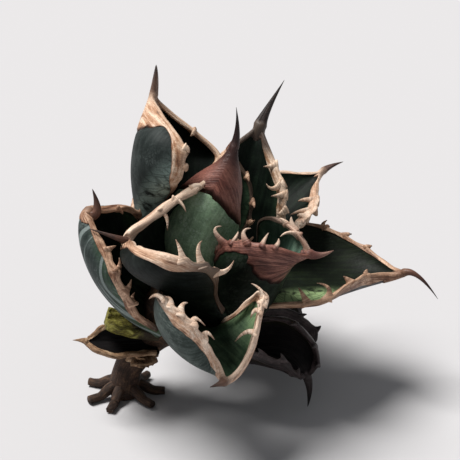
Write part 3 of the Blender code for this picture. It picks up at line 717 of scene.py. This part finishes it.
def add_tooth(surface, leaf, number, tooth):
    """A flattened claw that starts inside the margin, with a base flared along it."""
    u, side, root, middle, tip = tooth
    moved = leaf.rolled(root, u, side, 0.5) - root
    root, middle = root + moved, middle + moved / 2
    s = np.linspace(0, 1, TOOTH_ROWS)
    bend = 2 * middle - (root + tip) / 2
    inside = root - unit(middle - root) * 0.5
    centres = np.concatenate([inside[None], bent(root, bend, tip, s[:, None])])
    s = np.concatenate([[0.0], s])
    length = float(np.linalg.norm(middle - root) + np.linalg.norm(tip - middle))
    size = min(1.0, 0.45 + length / 7)
    radii = size * (0.85 * (1 - s) ** 0.8 + 0.75 * np.exp(-s * length / 0.9)) + 0.06
    flatten = 0.5 + 0.4 * s
    aside = side * leaf.half_width(u)
    place = vectors(u * leaf.length + 4 * s, aside, PATTERN_STEP * number + 20 * s)
    surface.add_rings(tube(centres, leaf.frame(u)[0], radii, flatten, TOOTH_SIDES), place[:, None],
                      np.array([u * 0.9, float(side), 0.5]), vectors(0.8, 0, s)[:, None])


def add_spine(surface, leaf, number):
    """The end spine. A keel inside the horn grows into it, and it has a groove on the inner side."""
    inner = leaf.frame(1.0)[2]
    keel = np.linspace(0, 1, KEEL_ROWS)
    inside_u = KEEL_START + (0.985 - KEEL_START) * keel
    width = SPINE_RADIUS * leaf.stout
    sunk = np.minimum(0.62 + 0.9 * width * (1 - keel) ** 1.2, 1.25)[:, None]
    inside = leaf.middle(inside_u) - leaf.frame(inside_u)[2] * sunk
    s = np.linspace(0, 1, SPINE_ROWS)
    centres = np.concatenate([inside, leaf.spine(s) - inner * 0.5])
    radii = np.concatenate([0.3 + (width - 0.15) * keel ** 1.8,
                            width * (1 - s) ** leaf.sharp + 0.1 * (1 - s) + 0.05])
    spread = np.concatenate([(0.3 + width * (1.5 * keel ** 0.7 - 0.5 * keel ** 3) - 0.3 * keel)
                             / radii[:KEEL_ROWS], 1 + 0 * s])
    share = np.concatenate([0 * keel, s])
    turns = full_turn(SPINE_SIDES)
    points = tube(centres, inner, radii, spread, SPINE_SIDES)
    groove = GROOVE * np.exp(-(np.minimum(turns, 2 * math.pi - turns) / 0.45) ** 2)[None, :, None]
    depth = (1 - share)[:, None, None] ** 1.5 * smooth(0, 0.12, share)[:, None, None]
    points = centres[:, None] + (points - centres[:, None]) * (1 - groove * depth)
    place = vectors(leaf.length + 8 * share[:, None], 1.5 * np.sin(turns), PATTERN_STEP * number + 30)
    leaf_share = vectors(np.concatenate([inside_u, 1 + 0 * s]), 0, 0.5)
    surface.add_rings(points, place, leaf_share[:, None], vectors(0.9, share, 0)[:, None])


# The leaves from the youngest to the oldest, in millimetres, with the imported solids' dimensions. First
# comes the path: the midrib's inner side at the base, a third, two thirds and the blade's tip, then the
# spine's point. Then two directions say which way the inner side looks, at the base and at the tip.
LEAVES = {
    "leaf_01": Leaf(
        [(18, -8, 34), (18, -8, 50), (24, -5.5, 62), (30, -1, 73.5), (30.5, 0, 84)],
        [(0.3, 0.9, 0.1), (0.4, 0.9, 0)], width=18, widest=0.4, taper=1.7, fold=(120, 120, 90),
        thick=2.4, horn=0.5, dip=-0.17, teeth=0, sharp=1.1, looks="young", horny="red_brown"),
    "leaf_02": Leaf(
        [(19.5, 4.5, 32.5), (22.5, 10, 44.5), (26, 14, 56), (29, 16, 65.5), (30.5, 17, 69)],
        [(0.2, -0.9, 0.1), (0.3, -0.8, 0)], width=10.5, fold=(50, 60, 70), horn=0.92, teeth=4,
        band=(1.0, 1.6, 1.0, 1.6), fade=(0.2, 0.97), looks="dark", horny="brown"),
    "leaf_03": Leaf(
        [(24, 7, 29.5), (30, 18, 43), (32.5, 20, 53.5), (37, 26, 69), (43.5, 31, 80)],
        [(-0.17, -0.94, 0.3), (-0.2, -0.98, 0)], width=14.5, widest=0.58, taper=1.2,
        fold=(50, 50, 70), horn=0.9, bow=0.2, band=(1.0, 1.6, 2.4, 1.6), roll=(0, -60), curl=2.0,
        stout=1.5, sharp=1.0, looks="dark", horny="cream_black"),
    "leaf_04": Leaf(
        [(10, 2, 32), (6.5, 6, 56), (6.5, 9, 67.5), (9, 15.5, 81.5), (10, 11, 91.5)],
        [(0.91, -0.28, 0.31), (0.8, -0.59, -0.12)], width=23.5, base=0.12, widest=0.69,
        fold=(54, 125, 98), horn=0.84, dip=0.06, band=(1.2, 3.0, 1.3, 1.6), fade=(0.5, 0.35),
        stout=0.95, sharp=0.65, looks="slate", horny="tan"),
    "leaf_05": Leaf(
        [(28, 8, 28.5), (36.5, 18.5, 38.5), (44, 26, 45.5), (55, 34.5, 52), (60.5, 36, 54)],
        [(-0.56, -0.55, 0.62), (-0.53, -0.79, 0.29)], width=12.3, widest=0.6, taper=1.8,
        fold=(52, 50, 50), horn=0.92, band=(0.6, 1.2, 2.2, 1.4), roll=(0, -75), curl=2.0, stout=0.8,
        sharp=0.9, looks="dark", horny="satin"),
    "leaf_06": Leaf(
        [(25.5, -8, 25.5), (35, -9.5, 32.5), (42, -14.5, 46), (49, -19, 51.5), (55, -19, 52.5)],
        [(0, 0.89, 0.45), (-0.89, 0.06, 0.45)], width=19, base=0.35, widest=0.58, taper=1.9,
        fold=(64, 125, 80), horn=0.76, dip=0.2, band=(1.8, 1.6, 1.6, 2.0), roll=(-60, 0), curl=1.6,
        fade=(0.8, 0.45), looks="green", horny="red_cream"),
    "leaf_07": Leaf(
        [(21.5, -8, 27.5), (10, -15, 45), (4.5, -15.5, 52), (3, -16, 54), (-6.5, -17, 58)],
        [(0.34, 0.12, 0.93), (0.5, -0.51, 0.7)], width=30, base=0.3, widest=0.5, taper=2.2,
        fold=(85, 95, 90), horn=0.8, dip=0.06, band=(1.2, 4.2, 3.6, 3.6), inner_horn=0.8, roll=(0, -30),
        curl=2.4, swell=(0, 0.8), fade=(0.5, 0.28), looks="edged", horny="satin"),
    "leaf_08": Leaf(
        [(27.5, 3, 27), (41.5, 4.5, 32.5), (59, 8.5, 31), (75.5, 4, 35.5), (84.5, 2, 28.5)],
        [(0.15, -0.44, 0.88), (-0.12, 0.11, 0.99)], width=19.5, base=0.3, widest=0.47,
        fold=(35, 45, 80), horn=0.92, band=(0.8, 1.2, 1.2, 3.2), stout=0.85, sharp=1.0, looks="bright",
        horny="brown"),
    "leaf_09": Leaf(
        [(10, -4, 24), (-1.5, -6.5, 37), (-7.5, -9.5, 52), (-6.5, -12, 60), (-6.5, -11, 66.5)],
        [(0.57, -0.26, 0.78), (0.77, -0.37, 0.51)], width=17.5, base=0.4, widest=0.52, taper=1.4,
        fold=(60, 80, 96), horn=0.9, band=(1.4, 1.8, 1.8, 1.6), stout=1.35, looks="striped",
        horny="brown"),
    "leaf_10": Leaf(
        [(24, 8, 24), (29.5, 22, 25), (35.5, 34, 27), (41, 44, 28), (44, 50, 28)],
        [(-0.2, -0.4, 0.9), (-0.3, -0.5, 0.8)], width=12.5, base=0.45, horn=0.9, teeth=5,
        horny="cream"),
    "leaf_11": Leaf(
        [(24.5, -9, 25.5), (20, -26, 31.5), (25, -33.5, 29), (27.5, -43, 28.5), (24, -45, 28)],
        [(0.14, 0.05, 0.99), (0.35, -0.28, 0.89)], width=22.5, base=0.25, widest=0.5, taper=1.8,
        fold=(68, 98, 99), horn=0.92, band=(3.0, 1.6, 1.4, 3.0), fade=(0.12, 0.47), looks="mottled",
        horny="cream"),
    "leaf_12": Leaf(
        [(13, 8, 27), (9.5, 20, 32), (7, 30, 41), (7, 36, 51), (7.5, 38, 57)],
        [(0.5, -0.5, 0.6), (0.6, -0.7, 0.2)], width=13, base=0.45, horn=0.9, teeth=4, horny="tan"),
    "leaf_13": Leaf(
        [(26, 6, 20.5), (40, 14, 19), (47.5, 18, 10.5), (49.5, 19, 3), (49.5, 18, 0.1)],
        [(0, 0, 1), (0.8, 0.2, 0.4)], width=9, base=0.5, horn=0.93, teeth=4, tooth=2.2,
        looks="withered", horny="dry"),
    "leaf_14": Leaf(
        [(19, 9, 23.5), (19.5, 24, 22), (20.5, 36, 23), (22, 46, 26), (22.5, 52, 27)],
        [(0, -0.2, 1), (0, -0.5, 0.9)], width=12.5, base=0.45, horn=0.9, teeth=5, horny="tan"),
    "leaf_15": Leaf(
        [(20, -5, 15), (36, -9.5, 19), (45, -10.5, 18), (49.6, -10, 10.5), (50, -8, 0.1)],
        [(0, 0, 1), (0.4, -0.9, 0.1)], width=10, base=0.45, widest=0.5, taper=1.0,
        fold=(50, 105, 90), horn=0.93, teeth=5, tooth=2.5, looks="withered", horny="dry"),
    "leaf_16": Leaf(
        [(9, -5, 18), (2, -7.5, 19.5), (-4.5, -9, 20.5), (-9.5, -9.5, 21.5), (-13, -9, 21.5)],
        [(0, -0.6, 0.8), (0, -0.6, 0.8)], width=5.5, fold=(50, 65, 60), thick=2.0, teeth=0,
        stout=0.7, sharp=1.1, looks="withered", horny="papery"),
}

# The teeth of the leaves in view: the side, the place along the leaf, then the tooth's middle and tip
# from its root, in millimetres outward, towards the leaf's tip and towards its inner side.
TEETH = {
    "leaf_03": [
        (1, 0.84, (-0.5, -0.5, 1), (-1, -1, 2.5)), (1, 0.76, (-0.5, -2, 2), (-1.5, -1, 3.5)),
        (1, 0.7, (-0.5, -0.5, 1.5), (-1, -1, 3)), (1, 0.6, (0, -1, 1), (-0.5, -1, 1.5)),
        (-1, 0.75, (0.5, -0.5, 1), (1, -1, 1.5)), (-1, 0.6, (0.5, -0.5, 1), (0.5, -1.5, 1.5)),
    ],
    "leaf_04": [
        (-1, 0.74, (1, -0.5, 0), (1, -2, 0)), (-1, 0.62, (0.5, 0.5, 0), (1, -0.5, 0)),
        (1, 0.86, (0.5, -0.5, 0.5), (0, -1.5, 1)), (1, 0.7, (1, 0.5, 0), (1.5, -0.5, -1)),
    ],
    "leaf_05": [
        (1, 0.8, (-0.5, -2.5, 2), (-1, -4.5, 2.5)), (1, 0.72, (-0.5, -3, 2), (-1, -6.5, 3)),
        (1, 0.62, (-0.5, -1, 1.5), (-1, -2, 1.5)), (1, 0.54, (1, 0.5, 0), (1.5, -0.5, -1)),
        (-1, 0.7, (0.5, 0, 0), (1, -0.5, -0.5)),
    ],
    "leaf_06": [
        (1, 0.62, (3.5, 1, -2.5), (4, 2.5, -1)), (1, 0.52, (1.5, 1, -1), (2.5, 2, -1.5)),
        (1, 0.67, (1, 1.5, 1), (2, 2.5, 1.5)), (1, 0.56, (-1.5, -0.5, 2.5), (-2.5, -2.5, 2.5)),
        (1, 0.74, (3, 1, 0), (3, 2.5, 1.5)), (1, 0.83, (0.5, 1, 1), (1.5, 1.5, 1.5)),
        (1, 0.79, (1, 1, 1), (2, 2.5, 2)), (-1, 0.89, (2, -2, 0), (2.5, -4, 1.5)),
        (-1, 0.82, (1, 0, -0.5), (2, -0.5, -1)), (-1, 0.86, (1.5, 0, -1.5), (2.5, 0.5, -2.5)),
    ],
    "leaf_07": [
        (-1, 0.53, (1, 2.5, 1), (1.5, 5, 2)), (-1, 0.44, (1.5, 3.5, 1.5), (3.5, 4.5, 2.5)),
        (-1, 0.33, (2.5, -1.5, 0), (5.5, -1, 1)), (1, 0.74, (1, -1.5, -0.5), (1, -4, 0.5)),
        (1, 0.79, (0.5, -2, 0.5), (-0.5, -4.5, 2.5)), (1, 0.66, (1, 0, -1), (1.5, -1.5, -1.5)),
    ],
    "leaf_08": [
        (1, 0.66, (0.5, -1, 1), (1, -2, 1.5)), (1, 0.47, (0.5, 0.5, 3), (0, -2.5, 4.5)),
        (1, 0.38, (0, -1, 2.5), (-0.5, -2, 4.5)), (1, 0.82, (0.5, 0, 0.5), (1, 0.5, 1)),
        (-1, 0.5, (1, -1.5, 0), (0, -2.5, -0.5)), (-1, 0.62, (1, -0.5, 0), (2, 0.5, 0.5)),
        (-1, 0.7, (0.5, 1, 0), (0.5, 2, 0)), (-1, 0.79, (0.5, 1, 0), (0.5, 1.5, -0.5)),
    ],
    "leaf_09": [
        (-1, 0.74, (1, 0.5, 0.5), (2, 0.5, 1.5)), (-1, 0.6, (0.5, 1, 1.5), (0.5, 2.5, 2.5)),
        (-1, 0.46, (1, 0.5, 1), (1.5, 1.5, 2.5)), (-1, 0.33, (0.5, 1.5, 0.5), (1, 2, 2)),
        (1, 0.8, (1, -0.5, 0), (1.5, -1, 0.5)), (1, 0.6, (1, -0.5, 0), (1, -2, 1)),
    ],
    "leaf_11": [
        (1, 0.42, (0.5, -1.5, -1.5), (-1, -2, -3)), (1, 0.46, (1.5, -1, 0), (1.5, -2, -1)),
        (1, 0.51, (2, -1, 0.5), (3, -0.5, 1.5)), (1, 0.59, (1.5, -0.5, 0.5), (1, 2, 2)),
        (1, 0.7, (1.5, 0, 0.5), (1, 2, 1.5)), (-1, 0.57, (1.5, -2, 0), (2, -4.5, 1)),
        (-1, 0.61, (1.5, -0.5, -1.5), (2.5, -2, -1)), (-1, 0.66, (0.5, -1, 1), (-1, -0.5, 2.5)),
        (-1, 0.75, (0, -1.5, 2), (-2, -1.5, 5)),
    ],
}

# The slots of materials, where they aren't the usual green_leaf and cream_horn.
SLOTS = {"young": "young_leaf", "withered": "withered_leaf"}
HORN_SLOTS = {"red_brown": "red_brown_horn", "red_cream": "red_brown_horn", "dry": "dry_horn",
              "papery": "dry_horn"}

# Painted shade in these skins: the inner sides of dark, bright, slate, striped and edged are near black,
# and the backs of green and edged are dark, where those sides lie in shadow. The strips are partly painted
# light where a flank is lit.
skin_material(
    "green", ((40, 75, 55), (90, 150, 110), (170, 250, 190)),
    ((4, 6.5, 4.5), (9, 14, 9), (18, 27, 18)), bloom=0.3, bloom_colour=(70, 90, 70),
    strip=(20, 45, 20))
skin_material(
    "dark", ((1.5, 3, 2), (4, 8, 5), (12, 22, 13)), ((3.5, 5, 4.5), (8, 11, 10), (18, 23, 21)),
    bloom=0.25, bloom_colour=(80, 100, 95), strip=(60, 110, 60), strip_from=0.6, base=(30, 55, 25))
skin_material(
    "bright", ((2, 3, 1.5), (4, 7, 3), (11, 18, 7)), ((40, 40, 42), (90, 90, 95), (180, 180, 190)),
    bloom=0.25, bloom_colour=(160, 240, 190), strip=(300, 420, 200), strip_amount=0.95, strip_side=1.0,
    strip_from=0.2, strip_top=0.66, base=(20, 35, 15))
skin_material(
    "slate", ((1.5, 3, 2), (3, 6, 4), (8, 14, 9)), ((10.5, 15, 14), (19, 25, 24), (37, 46, 44)),
    bloom=0.3, bloom_colour=(100, 120, 115), strip=(280, 380, 345), strip_amount=0.92, strip_side=-1.0,
    strip_from=0.5, strip_top=0.8, strip_slope=1.3, base=(100, 170, 100))
skin_material(
    "striped", ((1.5, 3, 2), (4, 8, 5), (12, 20, 10)), ((15, 21, 20), (34, 46, 43), (70, 88, 84)),
    bloom=0.3, stripes=0.8, bloom_colour=(270, 320, 310), strip_amount=0.2)
skin_material(
    "edged", ((1.5, 3, 2), (4, 8, 5), (14, 26, 16)), ((2, 3, 2.5), (4.5, 6.5, 5.5), (11, 14, 12.5)),
    bloom=0.15, bloom_colour=(80, 100, 95), strip=(420, 520, 420), strip_amount=0.95, strip_side=1.0,
    strip_from=0.66, strip_top=1.1, base=(20, 35, 18))
skin_material(
    "mottled", ((14, 28, 16), (35, 65, 36), (80, 130, 70)),
    ((18, 26, 23), (38, 52, 47), (90, 115, 105)), bloom=0.4, bloom_colour=(180, 220, 205),
    strip=(200, 300, 150), strip_amount=0.8, strip_side=-1.0, strip_from=0.5)
skin_material(
    "young", ((30, 60, 30), (70, 130, 60), (140, 220, 100)),
    ((150, 230, 145), (250, 370, 235), (380, 520, 350)), bloom=0.6, bloom_colour=(360, 470, 360),
    strip=(200, 300, 160), strip_amount=0.4, base=(240, 360, 110))
skin_material(
    "withered", ((2, 1.5, 2), (5, 3.5, 4), (12, 9, 9)), ((6, 4, 5), (14, 9, 10), (35, 24, 27)),
    bloom=0.15, bloom_colour=(70, 55, 60), strip=(45, 50, 8), strip_amount=0.3, wrinkles=0.9,
    base=(15, 10, 8))
horn_material(
    "cream", (120, 50, 28), (600, 370, 240), (900, 730, 590), (120, 65, 45), (20, 13, 12),
    dark_from=0.93)
horn_material(
    "satin", (150, 65, 36), (600, 370, 240), (900, 720, 570), (60, 28, 22), (12, 8, 8),
    patch_scale=0.1, dark_from=0.96)
horn_material(
    "tan", (100, 38, 20), (460, 240, 130), (840, 640, 480), (160, 100, 75), (35, 25, 22),
    dark_from=0.95)
horn_material(
    "brown", (40, 16, 10), (240, 110, 58), (660, 430, 290), (130, 58, 37), (35, 19, 16), fresh=0.4,
    dark_from=0.92)
horn_material(
    "cream_black", (50, 22, 14), (480, 280, 160), (860, 680, 530), (8, 5, 5), (3, 2, 2.5),
    dark_from=0.84, dark_to=0.93)
horn_material(
    "red_brown", (30, 8, 6), (125, 36, 26), (280, 110, 80), (14, 5, 5), (4, 3, 3), fresh=0.15,
    patch_scale=0.12, specks=0.5, dark_from=0.74, dark_to=0.96)
horn_material(
    "red_cream", (22, 7, 6), (100, 32, 24), (340, 150, 110), (120, 42, 32), (300, 160, 120), fresh=0.3,
    patch_scale=0.12, specks=0.5, pale_side=-1.0)
horn_material("dry", (6, 4, 4), (18, 11, 11), (60, 42, 42), (25, 16, 16), (8, 6, 7), fresh=0.15)
dry_material("papery", (50, 25, 12), (300, 170, 90), (620, 450, 290))
dry_material("bark", (12, 7, 5), (50, 25, 15), (160, 90, 50))
dry_material("stub", (20, 12, 6), (180, 160, 20), (500, 480, 130), scale=0.5, painted_shade_to=0.5)


def leaves():
    """Two pieces a leaf: the green blade and the horny margin."""
    for number, (name, leaf) in enumerate(LEAVES.items()):
        add_blade(name, leaf, number)
        add_margin(name, leaf, number)


# ---- stem, roots, stub and bud

STEM = [
    ((0, 0, 0), 4.2), ((0, 0, 3), 4.4), ((1, 0, 8), 3.9), ((4, 0, 14), 4.3), ((8, -1, 20), 5.8),
    ((13, -2, 26), 8.0), ((16, -2, 32), 7.6), ((18, -2, 37), 5.0), ((19, -2, 40), 2.0),
]
ROOT_COUNT = 7
ROOT_REACH = 12.0
ROOT_RADIUS = 1.2
BUD = [((18.5, -1.5, 36), 2.4), ((20, -2, 42), 2.8), ((22.5, -1, 50), 2.1), ((25.5, 1, 58), 1.0),
       ((27, 2, 62), 0.3)]
STUB = Leaf(
    [(9, -5, 22.5), (4.5, -6.5, 23.5), (0, -8, 25), (-4, -9, 27), (-5, -9, 28)],
    [(0.2, 0, 1), (0.5, 0, 1)], width=5, base=0.8, widest=0.9, taper=0.2, thick=3.0)
# Dry leaf bases on the stem: height, direction in degrees and length.
SCALES = [(13, 200, 7), (16, 20, 8), (17, 110, 8), (12, 290, 8), (19, 330, 9), (9, 60, 6)]


def along_line(knots, count):
    """count points and radii along a line of (point, radius) knots, spaced by length."""
    points = np.array([point for point, _ in knots], float)
    radii = np.array([radius for _, radius in knots], float)
    steps = np.concatenate([[0], np.cumsum(np.linalg.norm(np.diff(points, axis=0), axis=1))])
    places = np.linspace(0, steps[-1], count)
    line = np.array([np.interp(places, steps, column) for column in points.T]).T
    for _ in range(3):
        line[1:-1] = (line[:-2] + 2 * line[1:-1] + line[2:]) / 4
    return line, np.interp(places, steps, radii), places


def rough_tube(surface, knots, rows, sides, draw, roughness, zone=0.0):
    """A bark-covered tube whose rings are uneven."""
    centres, radii, places = along_line(knots, rows)
    turns, length = np.meshgrid(full_turn(sides), places)
    uneven = np.zeros_like(turns)
    for _ in range(9):
        folds, rate, start = draw.randint(1, 7), draw.uniform(0.1, 0.9), draw.uniform(0, 6.3)
        uneven += np.sin(folds * turns + rate * length + start) / 9
    reach = radii[:, None] * (1 + roughness * uneven)
    points = rings(centres, beside(centres, (0.31, 0.92, 0.24)), reach, reach, turns)
    surface.add_rings(points, vectors(length, turns * 3, zone))


def stem_centre(height):
    points = np.array([point for point, _ in STEM], float)
    return np.array([np.interp(height, points[:, 2], column) for column in points.T])


def stem():
    """The stem with its trimmed roots."""
    draw = random.Random(3)
    surface = Surface()
    rough_tube(surface, STEM, 60, 40, random.Random(31), 0.12)
    for k in range(ROOT_COUNT):
        turn = 2 * math.pi * (k + draw.uniform(-0.2, 0.2)) / ROOT_COUNT
        way = np.array((math.cos(turn), math.sin(turn), 0))
        side = np.array((-way[1], way[0], 0)) * draw.uniform(-1.5, 1.5)
        reach = ROOT_REACH * draw.uniform(0.85, 1.0)
        knots = [
            (way * 2 + (0, 0, 3.6), 1.8), (way * 5 + (0, 0, 2.8), 1.5),
            (way * reach * 0.7 + side * 0.5 + (0, 0, ROOT_RADIUS), ROOT_RADIUS),
            (way * reach + side + (0, 0, ROOT_RADIUS), ROOT_RADIUS * 0.9),
        ]
        rough_tube(surface, knots, 22, 14, random.Random(40 + k), 0.3, 50.0 + 9 * k)
    surface.piece("stem_bark", "bark", "bark", "stem")


def add_torn(surface, leaf, number, size, whole, relief, stretch, ragged):
    """An uneven sheet, size rows and columns of points. whole is how much of the torn end is left."""
    rows, columns = size
    v, back = both_faces(columns)
    u = np.linspace(0, 1, rows)[:, None] * (whole + min(0.12, 1 - whole) * ragged(v))
    u, v, back = np.broadcast_arrays(u, v, back)
    points = leaf.skin(u, v, back) + leaf.normal(u, v) * (relief * ragged(u * stretch + v))[..., None]
    surface.add_rings(points, leaf_place(leaf, number, u, v, back), vectors(u, v, back))


def scale_leaves():
    """Dry leaf bases that still cling to the stem."""
    surface = Surface()
    for index, (height, bearing, length) in enumerate(SCALES):
        turn = math.radians(bearing)
        way = np.array((math.cos(turn), math.sin(turn), 0.35))
        start = stem_centre(height) + way * 2.5
        path = [start + way * length * s - (0, 0, 1.5 * s * s) for s in (0, 0.33, 0.67, 1, 1.1)]
        scale = Leaf(path, [(0, 0, 1), tuple(way + (0, 0, 1))], width=3.6, base=0.9, taper=0.6,
                     fold=(60, 50, 30), thick=1.2, wave=1.0)
        ragged = waves(random.Random(70 + index), 6, 1.0, 5.0)
        add_torn(surface, scale, 60 + index, (16, 22), 0.85, 0.35, 2, ragged)
    surface.piece("stem_scales", "papery", "dry_leaf")


def stub():
    """What is left of a cut leaf, with an uneven cut end."""
    surface = Surface()
    add_torn(surface, STUB, 50, (26, 24), 0.97, 0.25, 1, waves(random.Random(81), 5, 0.6, 3.0))
    surface.piece("stub_flesh", "stub", "stub_flesh", "leaf_stub")


def bud():
    """The closed heart: young leaves rolled round each other."""
    centres, radii, places = along_line(BUD, 60)
    turns = full_turn(36)
    share = (places / places[-1])[:, None]
    spiral = (turns - 5.0 * share) % (2 * math.pi) / (2 * math.pi)
    reach = radii[:, None] * (0.86 + 0.2 * spiral)
    points = rings(centres, beside(centres, (0.2, 0.9, 0.3)), reach, reach, turns)
    surface = Surface()
    surface.add_rings(points, vectors(share * 26, spiral * 8, 9.0), vectors(0.3 + 0.6 * share, 0, 1))
    surface.piece("bud_roll", "young", "young_leaf", "bud")


# ---- floor, light and camera

FLOOR_SIZE = 30.0           # metres from the middle, so that no edge is seen
FLOOR_DROP = 0.0001         # metres under the plant
FLOOR_COLOUR = (470, 466, 479)
SKY_COLOUR = (950, 970, 1000)
SKY_STRENGTH = 0.24
SUN_DIRECTION = (0.4, -0.12, -0.91)
SUN_STRENGTH = 5.35
SUN_SOFTNESS = 30           # degrees across
SUN_COLOUR = (1000, 980, 950)
CAMERA_TARGET = (28.74, 18.92, 40.58)
CAMERA_DISTANCE = 520.0
CAMERA_DROP = 25.0          # degrees that the view looks down by
FRAME_WIDTH = 126.4         # millimetres across the picture at the target


def stage():
    """A pale floor, an even sky and one soft light from the upper left."""
    data = bpy.data.meshes.new("floor")
    corners = [(-1, -1), (1, -1), (1, 1), (-1, 1)]
    data.from_pydata([(x * FLOOR_SIZE, y * FLOOR_SIZE, 0) for x, y in corners], [], [(0, 1, 2, 3)])
    s = Shader("floor_paper")
    s.colour = FLOOR_COLOUR
    data.materials.append(s.finish(0.9, 0.1))
    floor = placed("floor", data)
    floor.location.z = -FLOOR_DROP

    world = bpy.data.worlds.new("studio")
    world.use_nodes = True
    sky = world.node_tree.nodes["Background"].inputs
    sky["Color"].default_value = rgba(SKY_COLOUR)
    sky["Strength"].default_value = SKY_STRENGTH
    bpy.context.scene.world = world

    lamp = bpy.data.lights.new("key", "SUN")
    lamp.energy = SUN_STRENGTH
    lamp.angle = math.radians(SUN_SOFTNESS)
    lamp.color = rgba(SUN_COLOUR)[:3]
    placed("key", lamp).rotation_euler = facing(Vector(SUN_DIRECTION))


def facing(direction):
    """The turn that points a light or a camera along direction."""
    return direction.to_track_quat("-Z", "Y").to_euler()


def camera():
    lens = bpy.data.cameras.new("camera")
    lens.angle = 2 * math.atan(FRAME_WIDTH / 2 / CAMERA_DISTANCE)
    lens.clip_start, lens.clip_end = 0.01, 100
    made = placed("camera", lens)
    drop = math.radians(CAMERA_DROP)
    back = Vector((0, -math.cos(drop), math.sin(drop)))
    made.location = (Vector(CAMERA_TARGET) + back * CAMERA_DISTANCE) * MM
    made.rotation_euler = facing(-back)
    bpy.context.scene.camera = made


camera()
stage()
leaves()
stem()
scale_leaves()
stub()
bud()

bpy.context.scene.view_settings.view_transform = "Standard"
